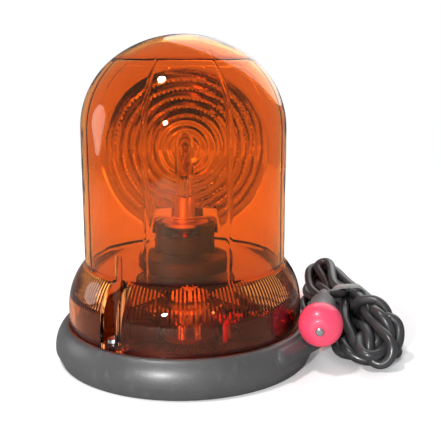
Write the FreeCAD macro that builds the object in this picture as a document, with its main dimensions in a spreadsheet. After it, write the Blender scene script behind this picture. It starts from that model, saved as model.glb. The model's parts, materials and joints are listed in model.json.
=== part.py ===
"""Rotating beacon with a magnetic base, an amber dome, a turning reflector and a tied lead with a 12 V plug.

Millimetres. +Z is up, the origin is the centre of the base's underside, and the reflector faces -Y at rest.
Every driving dimension is a cell of the sheet "sizes"; what seats on or passes through a piece reads the same cells.
"""

import FreeCAD, Part
import math
import os
import re

import Sketcher
from FreeCAD import Placement, Rotation, Vector

SIZES = {
    # rubber boot, round the lens
    "boot_wall": 6.8, "boot_foot_inset": 2.5, "boot_crease_height": 5.5, "boot_round_start": 6.5,
    "boot_round": 15.2, "boot_height": 17.5, "boot_floor": 3, "boot_grip_height": 11.8, "seat_gap": 0.3,
    # cable boss on the boot: a straight tunnel tangent to the ring
    "boss_outset": 2.6, "boss_azimuth": -38, "boss_height": 11, "boss_radius": 5, "boss_start": -6, "boss_end": 30,
    "bore_bend": -3, "bore_bend_inset": 6.053, "bore_bend_azimuth": -45,
    # magnet
    "cup_radius": 43, "cup_bottom": 0.4, "cup_top": 7.9, "cup_wall": 1.5, "magnet_hole": 8, "magnet_step": 0.4,
    "magnet_bolt_radius": 2.5, "magnet_bolt_head": 5.4, "magnet_bolt_head_height": 3.2, "magnet_bolt_bite": 6.6,
    # base plate: an inverted pan with a seat for the lens and a well for the motor
    "plate_inset": 3.4, "plate_wall": 2.5, "plate_top": 17.5, "deck": 2.5, "flange_inset": 0.4,
    "flange_bottom": 12.1, "flange_top": 14.6, "boss_wall": 2, "well_floor_top": 10, "well_floor": 2,
    # lens
    "gasket": 1.4, "lens_radius": 57.9, "lens_wall": 2.5, "skirt_top": 26, "shoulder_round": 32.7,
    "dome_radius": 49.4, "dome_spring": 112, "dome_corner": 42, "crown_rise": 2.5, "rib": 0.7, "rib_sunk": 0.5,
    "rib_count": 8, "rib_width": 1.0, "rib_azimuth": -108, "pocket_radius": 4.35, "pocket_wall": 2,
    "pocket_floor": 19.8, "screw_inset": 4.7, "screw_azimuth": 236, "lens_screw_count": 3, "lens_screw_radius": 1.9,
    "lens_screw_head": 3.6, "lens_screw_head_height": 2.6, "lens_screw_bite": 9,
    # lamp post and what it carries
    "post_radius": 4.5, "post_bore": 3, "post_flange": 12, "post_flange_thick": 2, "post_collar": 7,
    "post_collar_top": 29.5, "post_top": 59, "post_screw_reach": 9.4, "post_screw_count": 3,
    "post_screw_bite": 6,
    "small_screw_radius": 1.2, "small_screw_head": 2.1, "small_screw_head_height": 1.4, "lead_hole": 1.6,
    "lead_hole_height": 23.5, "washer_radius": 8.5, "washer": 0.9, "running_gap": 0.05, "end_float": 0.1,
    "ring_radius": 7.2, "ring_thick": 0.8, "ring_groove": 0.5,
    "holder_radius": 14.6, "holder_bottom": 52, "holder_floor": 3, "holder_top": 66.2, "holder_bore": 10.4,
    "holder_seat": 65.2, "notch_left": -12, "notch_right": 8, "notch_bottom": 60.5, "lug": 1.6,
    "lug_bottom": 60.8, "lug_top": 62.8, "nut_flats": 14, "nut_thick": 3.4,
    "lamp_ring_radius": 11.5, "lamp_ring_bore": 6.2, "lamp_ring": 1.5, "leg_width": 4, "leg_bottom": 61,
    # bulb
    "bulb_flange": 7.25, "bulb_flange_thick": 1.5, "ferrule_radius": 5, "ferrule_top": 79, "bulb_shank": 5.6,
    "bulb_shank_bottom": 63, "spade_width": 6.3, "spade_thick": 0.8, "spade_bottom": 60.2,
    "glass_radius": 4.5, "glass_wall": 0.8, "glass_tip": 111, "pinch_radius": 3.4, "pinch_top": 87,
    "pinch_bore": 0.9, "filament_height": 95, "filament_length": 6, "filament_radius": 0.9, "stem_radius": 0.8,
    "clip_wire": 0.7, "clip_reach": 15.4, "clip_foot": 1, "clip_bend": 3, "clip_cross": 7.2, "clip_dip": 4,
    "clip_belly": 6.6,
    # gear train
    "gear_module": 0.7, "gear_teeth": 70, "pinion_teeth": 10, "tooth_shift": 0.4, "tooth_play": 0.05,
    "motor_azimuth": -82.8, "rim_bottom": 35, "rim_top": 38, "web_radius": 20, "web_bottom": 33.5,
    "web_top": 39.5, "hub_radius": 11, "pinion_bottom": 34.2, "pinion_top": 39,
    # rotor
    "table_radius": 22.8, "table_bottom": 43, "table_top": 50, "table_round": 2, "table_screw_place": 9.6,
    "table_screw_bite": 6, "bracket_screw_bite": 5, "bracket_width": 18, "bracket_tip_width": 13, "bracket_sheet": 1.5,
    "bracket_front": 12.5, "bracket_face": 24.5, "bracket_top": 109, "bracket_screw_across": 5.5,
    "bracket_screw_place": 17, "bracket_rib": 6,
    "dish_radius": 40.7, "dish_focal_length": 22, "dish_wall": 1.6, "dish_height": 100, "dish_band_count": 9,
    "dish_step": 0.35, "dish_lip": 1.2, "dish_notch": 18.5, "dish_notch_top": 71, "dish_boss": 8,
    "rivet_radius": 1.2, "rivet_head": 2.4, "rivet_head_thick": 0.9, "rivet_spread": 5,
    # motor
    "can_radius": 12.2, "can_bottom": 12.4, "can_top": 32.7, "can_round": 1.5, "can_boss": 3,
    "can_boss_top": 33.4, "can_slot_width": 2, "can_slot_height": 8, "can_slot_depth": 1.2,
    "can_slot_spread": 3.5,
    "shaft_radius": 1, "shaft_bottom": 22, "shaft_top": 40, "sleeve": 0.8, "sleeve_top": 19.5,
    "bell_radius": 11.6,
    # blocks and wires on the deck
    "suppressor_long": 15, "suppressor_wide": 12, "suppressor_tall": 9, "suppressor_x": -25, "suppressor_y": -33,
    "suppressor_round": 2, "suppressor_rise": 1.2, "block_long": 16, "block_wide": 14, "block_tall": 12,
    "block_x": 25.5, "block_y": -31, "block_round": 1.2, "terminal_spread": 3.52, "terminal_place": 4,
    "terminal_width": 5.8, "terminal_drop": 2.5, "wire_radius": 1.1, "wire_play": 0.4,
    "lead_a_x": 19.5, "lead_a_y": -36, "lead_a_rise": 13, "lead_a_bend": 20.5, "lead_a_end": -29, "lead_a_level": 9,
    "lead_b_x": 21, "lead_b_y": -31, "lead_b_rise": 4, "lead_b_end": -24.5, "lead_b_level": 5, "lead_drop": 6,
    "lamp_lead_mouth": 3.4, "lamp_lead_x": 11, "lamp_lead_y": -0.6, "lamp_lead_way_x": 18, "lamp_lead_way_y": -9,
    "lamp_lead_turn": 20, "lamp_lead_end": -19.5,
    # cord
    "cord_radius": 2.5, "bore_play": 0.05, "hank_tall": 27, "hank_round": 6, "back_lobe": 14, "front_lobe": 19.5,
    "back_x": 80, "back_y": 80, "front_x": 95, "front_y": -18, "waist": 8, "tie_width": 5, "tie_thick": 1,
    "tie_x": 86.5, "tie_y": 22, "tie_round": 5, "tie_play": 1,
    # plug
    "plug_x": 64.2, "plug_y": -31.6, "plug_z": 23.5, "plug_yaw": -9.8, "plug_radius": 6.4, "plug_front": 4,
    "plug_back": 32, "plug_bore": 3.4, "plug_bore_depth": 30, "adapter_radius": 10.4, "adapter_back": 3,
    "adapter_front": 8.6, "adapter_nose": 4.4, "adapter_round": 9.6, "pin_radius": 2, "pin_head": 2.9,
    "pin_head_thick": 1.5,
    "pin_tip": 11, "fuse_radius": 2.6, "fuse_length": 20, "spring_wire": 0.45,
    "relief_radius": 4.4, "relief_tip": 3.3, "relief_length": 16, "contact_from": 6, "contact_long": 12,
    "contact_wide": 4, "contact_thick": 0.8, "contact_rise": 0.9,
}

# Sizes that follow from others.
FOLLOWING = {
    "boot_radius": "lens_radius + seat_gap + boot_wall",
    "boot_foot_radius": "boot_radius - boot_foot_inset",
    "boss_reach": "lens_radius + boss_outset",
    "plate_radius": "lens_radius - plate_inset",
    "flange_radius": "lens_radius - flange_inset",
    "screw_circle": "lens_radius - screw_inset",
    "lens_top": "dome_spring + dome_corner + crown_rise",
}

doc = FreeCAD.newDocument("rotating_beacon")
sheet = doc.addObject("Spreadsheet::Sheet", "sizes")
for row, (alias, content) in enumerate([*SIZES.items(), *FOLLOWING.items()], 1):
    sheet.set(f"A{row}", alias)
    sheet.set(f"B{row}", "=" + content if alias in FOLLOWING else str(content))
    sheet.setAlias(f"B{row}", alias)
doc.recompute()

exported = []


# ---- helpers: text in terms of the sheet's aliases drives every property ----

def tied(text):
    """The text with each alias written as FreeCAD's expression engine reads it."""
    return re.sub(r"[a-z]\w*", lambda word: "sizes." + word[0] if word[0] in SIZES or word[0] in FOLLOWING else word[0],
                  str(text))


def size(text):
    """The present value of a text in aliases."""
    return float(sheet.evalExpression(tied(text)))


def bind(item, **properties):
    """Ties properties to texts; a double underscore stands for a dot."""
    for name, text in properties.items():
        item.setExpression(name.replace("__", "."), tied(text))
    return item


def place(item, x="0", y="0", z="0", turn="0"):
    """Stands an item at x, y, z, turned about its own Z."""
    bind(item, Placement__Base__x=x, Placement__Base__y=y, Placement__Base__z=z)
    if turn != "0":
        bind(item, Placement__Rotation__Angle=turn)
    return item


def node(item, label):
    """Names a finished sub-part and keeps it for export."""
    item.Label = label
    exported.append(item)
    return item


def primitive(kind, name, **properties):
    return bind(doc.addObject("Part::" + kind, name), **properties)


def cylinder(name, radius, bottom, top, x="0", y="0"):
    item = primitive("Cylinder", name, Radius=radius, Height=f"({top}) - ({bottom})")
    return place(item, x, y, bottom)


def box(name, long, wide, tall, x, y, z):
    return place(primitive("Box", name, Length=long, Width=wide, Height=tall), x, y, z)


def cut(name, base, tool):
    item = doc.addObject("Part::Cut", name)
    item.Base, item.Tool = base, tool
    return item


def fuse(name, *pieces):
    item = doc.addObject("Part::MultiFuse", name)
    item.Shapes = list(pieces)
    return item


def group(name, *pieces):
    item = doc.addObject("Part::Compound", name)
    item.Links = list(pieces)
    return item


def origin_plane(body, role):
    return next(item for item in body.Origin.OriginFeatures if item.Role == role)


def sketch(body, name, role, corners):
    """A closed outline. A corner is (across, up), or (across, up, radius) where the side that
    ends there is an arc of that radius, which bulges to the right of its way for a plus sign."""
    item = body.newObject("Sketcher::SketchObject", name)
    item.AttachmentSupport = (origin_plane(body, role), [""])
    item.MapMode = "FlatFace"
    points = [Vector(size(corner[0]), size(corner[1]), 0) for corner in corners]
    starts, ends = [], []
    for index, corner in enumerate(corners):
        a, b = points[index - 1], points[index]
        if len(corner) == 2:
            item.addGeometry(Part.LineSegment(a, b), False)
            starts.append(1)
            ends.append(2)
            continue
        radius = size(corner[2])
        way, middle = (b - a), (a + b) * 0.5
        left = Vector(-way.y, way.x, 0).normalize()
        away = math.sqrt(max(radius * radius - way.Length ** 2 / 4, 0)) * (1 if radius > 0 else -1)
        centre = middle + left * away
        from_angle = math.atan2(a.y - centre.y, a.x - centre.x)
        to_angle = math.atan2(b.y - centre.y, b.x - centre.x)
        circle = Part.Circle(centre, Vector(0, 0, 1), abs(radius))
        if radius > 0:
            item.addGeometry(Part.ArcOfCircle(circle, from_angle, to_angle), False)
            starts.append(1)
            ends.append(2)
        else:
            item.addGeometry(Part.ArcOfCircle(circle, to_angle, from_angle), False)
            starts.append(2)
            ends.append(1)
    for index, corner in enumerate(corners):
        before = index - 1 if index else len(corners) - 1
        item.addConstraint(Sketcher.Constraint("Coincident", before, ends[before], index, starts[index]))
    for index, corner in enumerate(corners):
        for kind, text, value in (("DistanceX", corner[0], points[index].x), ("DistanceY", corner[1], points[index].y)):
            number = item.addConstraint(Sketcher.Constraint(kind, -1, 1, index, ends[index], value))
            if re.search("[a-z]", str(text)):
                item.setExpression(f"Constraints[{number}]", tied(text))
        if len(corner) == 3:
            number = item.addConstraint(Sketcher.Constraint("Radius", index, abs(size(corner[2]))))
            item.setExpression(f"Constraints[{number}]", tied(f"abs({corner[2]})"))
    return item


def turned(name, corners, angle="360"):
    """A body made by turning an outline in the XZ plane about Z, evenly to both sides if it is no full turn."""
    body = doc.addObject("PartDesign::Body", name)
    outline = sketch(body, name + "_outline", "XZ_Plane", corners)
    item = body.newObject("PartDesign::Revolution", name + "_turn")
    item.Profile = outline
    item.ReferenceAxis = (outline, ["V_Axis"])
    item.Midplane = angle != "360"
    bind(item, Angle=angle)
    return body


def padded(name, role, corners, length, midplane=False):
    """A body made by padding an outline."""
    body = doc.addObject("PartDesign::Body", name)
    item = body.newObject("PartDesign::Pad", name + "_pad")
    item.Profile = sketch(body, name + "_outline", role, corners)
    item.Midplane = midplane
    bind(item, Length=length)
    return body


def rounded_block(name, long, wide, tall, x, y, z, corner):
    """A box whose upright edges are rounded."""
    near, far = f"({x})", f"({x} + {long})"
    front, rear = f"({y})", f"({y} + {wide})"
    block = padded(name, "XY_Plane", [
        (f"{far} - {corner}", front), (far, f"{front} + {corner}", corner), (far, f"{rear} - {corner}"),
        (f"{far} - {corner}", rear, corner), (f"{near} + {corner}", rear), (near, f"{rear} - {corner}", corner),
        (near, f"{front} + {corner}"), (f"{near} + {corner}", front, corner),
    ], tall)
    return place(block, "0", "0", z)


def ringed(name, inner, outer, bottom, top):
    return turned(name, [(inner, bottom), (outer, bottom), (outer, top), (inner, top)])


def made(name, shape):
    """A sub-part whose shape comes from Part's own functions."""
    item = doc.addObject("Part::Feature", name)
    item.Shape = shape
    return item


def rounded_path(points):
    """Straight runs joined by tangent arcs, each as large as its two runs allow."""
    points = [Vector(*point) for point in points]
    edges, at, radii = [], points[0], []
    for before, here, after in zip(points, points[1:], points[2:]):
        into, out = (here - before), (after - here)
        half = into.getAngle(out) / 2
        short = min(into.Length, out.Length)
        reach = 0.45 * short
        radii.append(reach / math.tan(half))
        start = here - into.normalize() * reach
        end = here + out.normalize() * reach
        bisector = (out - into).normalize()
        middle = here + bisector * (radii[-1] / math.cos(half) - radii[-1])
        edges += [Part.LineSegment(at, start).toShape(), Part.Arc(start, middle, end).toShape()]
        at = end
    edges.append(Part.LineSegment(at, points[-1]).toShape())
    return Part.Wire(edges), radii


def tube(name, points, radius):
    """A round cord or wire along a rounded path."""
    path, radii = rounded_path(points)
    way = Vector(*points[1]) - Vector(*points[0])
    section = Part.Wire([Part.Circle(Vector(*points[0]), way, radius).toShape()])
    shape = path.makePipeShell([section], True, False)
    share = shape.Volume / (math.pi * radius ** 2 * path.Length)
    print(f"{name}: {path.Length:.1f} mm long, radii {[round(r, 1) for r in radii]}, volume share {share:.4f}")
    return shape


def around(count, first, index):
    """The angle of one copy out of count, as text."""
    return f"({first}) + 360 / ({count}) * {index}"


def screw(name, shank, head, head_thick, seat, bite, x, y):
    """A pan-head screw that stands on seat with its shank downwards."""
    return fuse(
        name,
        cylinder(name + "_shank", shank, f"{seat} - ({bite})", seat, x, y),
        cylinder(name + "_head", head, seat, f"{seat} + {head_thick}", x, y),
    )


def holes(name, radius, bottom, top, places):
    return group(name, *[cylinder(f"{name}_{i}", radius, bottom, top, x, y) for i, (x, y) in enumerate(places)])


def polar(radius, angle):
    return f"({radius}) * cos(({angle}) * 1 deg)", f"({radius}) * sin(({angle}) * 1 deg)"


# ---- places that several pieces share ----

SCREWS = [polar("screw_circle", around("lens_screw_count", "screw_azimuth", i))
          for i in range(SIZES["lens_screw_count"])]
POST_SCREWS = [polar("post_screw_reach", around("post_screw_count", 90, i)) for i in range(SIZES["post_screw_count"])]
GEAR_CENTRES = "gear_module * (gear_teeth + pinion_teeth) / 2"
MOTOR = polar(GEAR_CENTRES, "motor_azimuth")
TABLE_SCREWS = [("table_screw_place", "0"), ("-table_screw_place", "0")]
BRACKET_SCREWS = [("bracket_screw_across", "bracket_screw_place"), ("-bracket_screw_across", "bracket_screw_place")]
BOSS_WAY = ("(0 - sin(boss_azimuth * 1 deg))", "cos(boss_azimuth * 1 deg)")
LENS_BOTTOM = "(flange_top + gasket)"
LOBE_BOTTOM = "pocket_floor - lens_screw_bite - 1"


def boss_point(along):
    """A point on the cable boss's axis, that far along it."""
    return (
        f"boss_reach * cos(boss_azimuth * 1 deg) + ({along}) * {BOSS_WAY[0]}",
        f"boss_reach * sin(boss_azimuth * 1 deg) + ({along}) * {BOSS_WAY[1]}",
    )


def plain_boss_point(along):
    x, y = boss_point(along)
    return (size(x), size(y), size("boss_height"))


EXIT = plain_boss_point("boss_end")
BLOCK_MIDDLE = (size("block_x + block_long / 2"), size("block_y + block_wide / 2"))
BORE_BEND = tuple(size(text) for text in polar("boss_reach - bore_bend_inset", "bore_bend_azimuth"))
INNER_ROUTE = [EXIT, plain_boss_point("bore_bend"), (*BORE_BEND, size("boss_height")),
               (*BLOCK_MIDDLE, size("boss_height")), (*BLOCK_MIDDLE, size("plate_top"))]


# ---- base ----

def cord_inner():
    shape = tube("cord_inner", INNER_ROUTE, size("cord_radius"))
    node(made("cord_inner", shape), "cord_inner")
    return shape


def rubber_boot():
    inner = "lens_radius + seat_gap"
    under = "plate_radius + seat_gap"
    window = "cup_radius + seat_gap"
    rim = "boot_radius - boot_round + sqrt(boot_round ^ 2 - (boot_height - boot_round_start) ^ 2)"
    ring = turned("boot_ring", [
        (window, "0"), ("boot_foot_radius", "0"), ("boot_radius", "boot_crease_height"),
        ("boot_radius", "boot_round_start"), (rim, "boot_height", "boot_round"), (inner, "boot_height"),
        (inner, "boot_grip_height"), (under, "boot_grip_height"), (under, "boot_floor"), (window, "boot_floor"),
    ])
    tunnel = primitive("Cylinder", "boss_tunnel", Radius="boss_radius", Height="boss_end - boss_start")
    cap = primitive("Sphere", "boss_cap", Radius="boss_radius")
    x, y = boss_point("boss_start")
    place(cap, x, y, "boss_height")
    tunnel.Placement = Placement(Vector(), Rotation(Vector(math.cos(math.radians(SIZES["boss_azimuth"])),
                                 math.sin(math.radians(SIZES["boss_azimuth"])), 0), -90))
    place(tunnel, x, y, "boss_height")
    inside = cylinder("boss_trim", inner, "boot_floor", "boot_height + boss_radius")
    boss = cut("boss_outside", fuse("boss", tunnel, cap), inside)
    bore = made("boot_bore", tube("boot bore", INNER_ROUTE, size("cord_radius + bore_play")))
    lobe_room = holes("boot_lobe_room", "lens_screw_radius + boss_wall + seat_gap", f"{LOBE_BOTTOM} - seat_gap",
                      "boot_height + 1", SCREWS)
    lobes_inside = doc.addObject("Part::Common", "boot_lobes_inside")
    lobes_inside.Base = lobe_room
    lobes_inside.Tool = cylinder("boot_inside", inner, "boot_floor", "boot_grip_height + 0.1")
    node(cut("rubber_boot_solid", fuse("boot_and_boss", ring, boss), fuse("boot_removed", bore, lobes_inside)),
         "rubber_boot")


def magnet():
    inner = "cup_radius - cup_wall"
    node(turned("magnet_cup_body", [
        ("magnet_bolt_radius", "cup_top - cup_wall"), (inner, "cup_top - cup_wall"), (inner, "cup_bottom"),
        ("cup_radius", "cup_bottom"), ("cup_radius", "cup_top"), ("magnet_bolt_radius", "cup_top"),
    ]), "magnet_cup")
    node(ringed("ring_magnet_body", "magnet_hole", f"{inner} - running_gap", "cup_bottom + magnet_step",
                "cup_top - cup_wall"), "ring_magnet")
    node(turned("magnet_bolt_body", [
        ("0", "cup_top - cup_wall - magnet_bolt_head_height"),
        ("magnet_bolt_head - 1", "cup_top - cup_wall - magnet_bolt_head_height"),
        ("magnet_bolt_head", "cup_top - cup_wall - magnet_bolt_head_height + 1"),
        ("magnet_bolt_head", "cup_top - cup_wall"), ("magnet_bolt_radius", "cup_top - cup_wall"),
        ("magnet_bolt_radius", "cup_top + magnet_bolt_bite"), ("0", "cup_top + magnet_bolt_bite"),
    ]), "magnet_bolt")


def base_plate():
    under = "plate_top - deck"
    pan = turned("plate_pan", [
        ("plate_radius - plate_wall", "boot_floor"), ("plate_radius", "boot_floor"),
        ("plate_radius", "flange_bottom"), ("flange_radius", "flange_bottom"), ("flange_radius", "flange_top"),
        ("plate_radius", "flange_top"), ("plate_radius", "plate_top"), ("0", "plate_top"), ("0", under),
        ("plate_radius - plate_wall", under),
    ])
    centre = cylinder("plate_centre", "post_flange + boss_wall", "cup_top", under)
    well_radius = "can_radius + sleeve"
    well = cylinder("plate_well", f"{well_radius} + boss_wall", "well_floor_top - well_floor", "plate_top", *MOTOR)
    lobes = [cylinder(f"plate_lobe_{i}", "lens_screw_radius + boss_wall", LOBE_BOTTOM, "flange_top", x, y)
             for i, (x, y) in enumerate(SCREWS)]
    solid = fuse("plate_solid", pan, centre, well, *lobes)
    slot = fuse("plate_wire_slot", made("plate_bore", tube("plate bore", INNER_ROUTE, size("cord_radius") + 0.6)),
                cylinder("plate_wire_way", "cord_radius + 0.7", "boss_height", "plate_top + 1",
                         "block_x + block_long / 2", "block_y + block_wide / 2"))
    removed = fuse(
        "plate_removed",
        cylinder("plate_well_bore", well_radius, "well_floor_top", "plate_top + 1", *MOTOR),
        cylinder("plate_bolt_hole", "magnet_bolt_radius", "cup_top - 1", "cup_top + magnet_bolt_bite"),
        holes("plate_lens_holes", "lens_screw_radius", "pocket_floor - lens_screw_bite", "plate_top + 1", SCREWS),
        holes("plate_sleeve_room", "pocket_radius + pocket_wall + seat_gap", LENS_BOTTOM, "plate_top + 1", SCREWS),
        holes("plate_post_holes", "small_screw_radius", "plate_top - post_screw_bite + 1", "plate_top + 1",
              POST_SCREWS),
        holes("plate_motor_wires", "wire_radius + wire_play", "plate_top - lead_drop - deck", "plate_top + 1",
              [("lead_a_x", "lead_a_y"), ("lead_b_x", "lead_b_y")]),
        slot,
    )
    node(cut("base_plate_solid", solid, removed), "base_plate")


def lens_profile(offset):
    """The meridian of the dome, moved inwards by offset: foot to top, as corners of an outline."""
    corner = f"(dome_corner - ({offset}))"
    wall = f"(dome_radius - ({offset}))"
    centre = "(dome_radius - dome_corner)"
    crown = ("((lens_top - dome_corner + dome_spring)"
             " - (dome_radius - dome_corner) ^ 2 / (lens_top - dome_corner - dome_spring)) / 2")
    big = f"(lens_top - ({crown}))"
    share = f"({big} - ({offset})) / ({big} - dome_corner)"
    join = (f"{centre} * {share}", f"({crown}) + (dome_spring - ({crown})) * {share}")
    rise = ("skirt_top + sqrt(shoulder_round ^ 2"
            " - (dome_radius - lens_radius + shoulder_round) ^ 2)")
    inner_rise = (f"skirt_top + sqrt((shoulder_round - ({offset})) ^ 2"
                  f" - (dome_radius - ({offset}) - lens_radius + shoulder_round) ^ 2)")
    return {
        "skirt": (f"lens_radius - ({offset})", "skirt_top"),
        "shoulder": (wall, inner_rise if offset != "0" else rise, f"shoulder_round - ({offset})"),
        "spring": (wall, "dome_spring"),
        "corner": (*join, corner),
        "top": ("0", f"lens_top - ({offset})", f"{big} - ({offset})"),
    }


def lens_ribs():
    """The ribs inside the dome: upright ones from the shoulder to the crown, and a ring where they end."""
    outer, inner = lens_profile("lens_wall - rib_sunk"), lens_profile("lens_wall + rib")
    foot = "skirt_top + shoulder_round * 0.75"
    ribs = [place(turned(f"lens_rib_{i}", [
        (inner["spring"][0], foot), (outer["spring"][0], foot), outer["spring"], outer["corner"],
        inner["corner"][:2], (*inner["spring"], f"-({inner['corner'][2]})"),
    ], "rib_width / dome_radius * 180 / pi"), turn=around("rib_count", "rib_azimuth", i))
        for i in range(SIZES["rib_count"])]
    join = lens_profile("lens_wall")["corner"]
    ring = primitive("Torus", "lens_crown_ring", Radius1=join[0], Radius2="rib")
    return [*ribs, place(ring, z=join[1])]


def dome_lens():
    outer, inner = lens_profile("0"), lens_profile("lens_wall")
    foot = LENS_BOTTOM
    shell = turned("lens_shell", [
        ("lens_radius - lens_wall", foot), ("lens_radius", foot), outer["skirt"], outer["shoulder"],
        outer["spring"], outer["corner"], outer["top"], ("0", "lens_top - lens_wall"),
        (inner["corner"][0], inner["corner"][1], f"-({inner['top'][2]})"),
        (*inner["spring"], f"-({inner['corner'][2]})"),
        inner["shoulder"][:2], (*inner["skirt"], f"-({inner['shoulder'][2]})"),
    ])
    sleeves = [cylinder(f"lens_sleeve_{i}", "pocket_radius + pocket_wall", LENS_BOTTOM, "skirt_top + shoulder_round",
                        x, y) for i, (x, y) in enumerate(SCREWS)]
    envelope = turned("lens_envelope", [
        ("0", foot), ("lens_radius", foot), outer["skirt"], outer["shoulder"], ("0", outer["shoulder"][1]),
    ])
    within = doc.addObject("Part::Common", "lens_sleeves_within")
    within.Base, within.Tool = fuse("lens_sleeves", *sleeves), envelope
    # Each pocket is a round well that opens outwards through the skirt.
    pocket_top = "skirt_top + shoulder_round * 0.72"
    wells = holes("lens_pockets", "pocket_radius", "pocket_floor", pocket_top, SCREWS)
    mouths = []
    for i, (x, y) in enumerate(SCREWS):
        azimuth = around("lens_screw_count", "screw_azimuth", i)
        mouth = primitive("Box", f"lens_mouth_{i}", Length="pocket_radius * 3", Width="pocket_radius * 2",
                          Height=f"{pocket_top} - pocket_floor")
        mouths.append(place(mouth, f"{x} + pocket_radius * sin(({azimuth}) * 1 deg)",
                            f"{y} - pocket_radius * cos(({azimuth}) * 1 deg)", "pocket_floor", azimuth))
    bores = holes("lens_screw_holes", "lens_screw_radius + running_gap", "flange_top", "pocket_floor + 1", SCREWS)
    cutters = fuse("lens_cutters", wells, *mouths, bores)
    node(cut("dome_lens_solid", fuse("lens_with_sleeves", shell, within, *lens_ribs()), cutters), "dome_lens")


def lens_parts():
    node(cut("lens_gasket_solid",
             ringed("gasket_ring", "plate_radius + 0.2", "flange_radius", "flange_top", LENS_BOTTOM),
             holes("gasket_holes", "lens_screw_radius + 0.5", "flange_top - 1", "pocket_floor", SCREWS)),
         "lens_gasket")
    node(group("lens_screw_group", *[
        screw(f"lens_screw_{i}", "lens_screw_radius", "lens_screw_head", "lens_screw_head_height", "pocket_floor",
              "lens_screw_bite", x, y) for i, (x, y) in enumerate(SCREWS)]), "lens_screws")


# ---- lamp post, lamp holder and bulb ----

def lamp_post():
    groove = "table_top + seat_gap"
    flange_top = "plate_top + post_flange_thick"
    post = turned("post_turning", [
        ("post_bore", "plate_top + 1"), ("0", "plate_top + 1"), ("0", "plate_top"), ("post_flange", "plate_top"),
        ("post_flange", flange_top), ("post_collar", flange_top), ("post_collar", "post_collar_top"),
        ("post_radius", "post_collar_top"), ("post_radius", groove), ("post_radius - ring_groove", groove),
        ("post_radius - ring_groove", f"{groove} + ring_thick"), ("post_radius", f"{groove} + ring_thick"),
        ("post_radius", "post_top"), ("post_bore", "post_top"),
    ])
    side = primitive("Cylinder", "post_side_hole", Radius="lead_hole", Height="post_collar + 1")
    side.Placement = Placement(Vector(), Rotation(Vector(0, 1, 0), 90))
    place(side, "0", "0", "lead_hole_height")
    screws = holes("post_flange_holes", "small_screw_radius", "plate_top - 1", f"{flange_top} + 1", POST_SCREWS)
    node(cut("lamp_post_solid", post, fuse("post_removed", side, screws)), "lamp_post")
    node(group("post_screw_group", *[
        screw(f"post_screw_{i}", "small_screw_radius", "small_screw_head", "small_screw_head_height", flange_top,
              "post_screw_bite", x, y) for i, (x, y) in enumerate(POST_SCREWS)]), "post_screws")
    node(ringed("thrust_washer_body", "post_radius + running_gap", "washer_radius", "post_collar_top",
                "post_collar_top + washer"), "thrust_washer")
    ring = ringed("retaining_ring_body", "post_radius - ring_groove", "ring_radius", groove,
                  f"{groove} + ring_thick")
    gap = box("ring_mouth", "ring_radius + 1", "post_radius", "ring_thick + 2", "post_radius * 0.6",
              "-post_radius / 2", f"{groove} - 1")
    node(cut("retaining_ring_solid", ring, gap), "retaining_ring")
    nut = primitive("Prism", "nut_blank", Circumradius="nut_flats / 2 / cos(30 deg)", Height="nut_thick")
    nut.Polygon = 6
    seat = "holder_bottom + holder_floor"
    place(nut, "0", "0", seat)
    node(cut("post_nut_solid", nut, cylinder("nut_hole", "post_radius", f"{seat} - 1", f"{seat} + nut_thick + 1")),
         "post_nut")


def lamp_holder():
    cup = turned("holder_turning", [
        ("post_radius", "holder_bottom"), ("holder_radius - 1", "holder_bottom"),
        ("holder_radius", "holder_bottom + 1"), ("holder_radius", "holder_top"),
        ("lamp_ring_radius + running_gap", "holder_top"), ("lamp_ring_radius + running_gap", "holder_seat"),
        ("holder_bore", "holder_seat"), ("holder_bore", "holder_bottom + holder_floor"),
        ("post_radius", "holder_bottom + holder_floor"),
    ])
    lugs = [box(f"holder_lug_{side}", "lug + 1", "lug * 2", "lug_top - lug_bottom",
                "holder_radius - 1" if side > 0 else "-holder_radius - lug", "1 - lug", "lug_bottom")
            for side in (1, -1)]
    notch = box("holder_notch", "notch_right - notch_left", "holder_radius", "holder_top - notch_bottom + 1",
                "notch_left", "-holder_radius - 6", "notch_bottom")
    node(cut("lamp_holder_solid", fuse("holder_with_lugs", cup, *lugs), notch), "lamp_holder")
    ring = ringed("ring_plate", "lamp_ring_bore", "lamp_ring_radius", "holder_seat", "holder_seat + lamp_ring")
    leg = box("ring_leg", "lamp_ring * 0.8", "leg_width", "holder_seat - leg_bottom + lamp_ring / 2",
              "-holder_bore + 0.8", "-leg_width", "leg_bottom")
    node(fuse("lamp_ring_solid", ring, leg), "lamp_ring")


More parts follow.
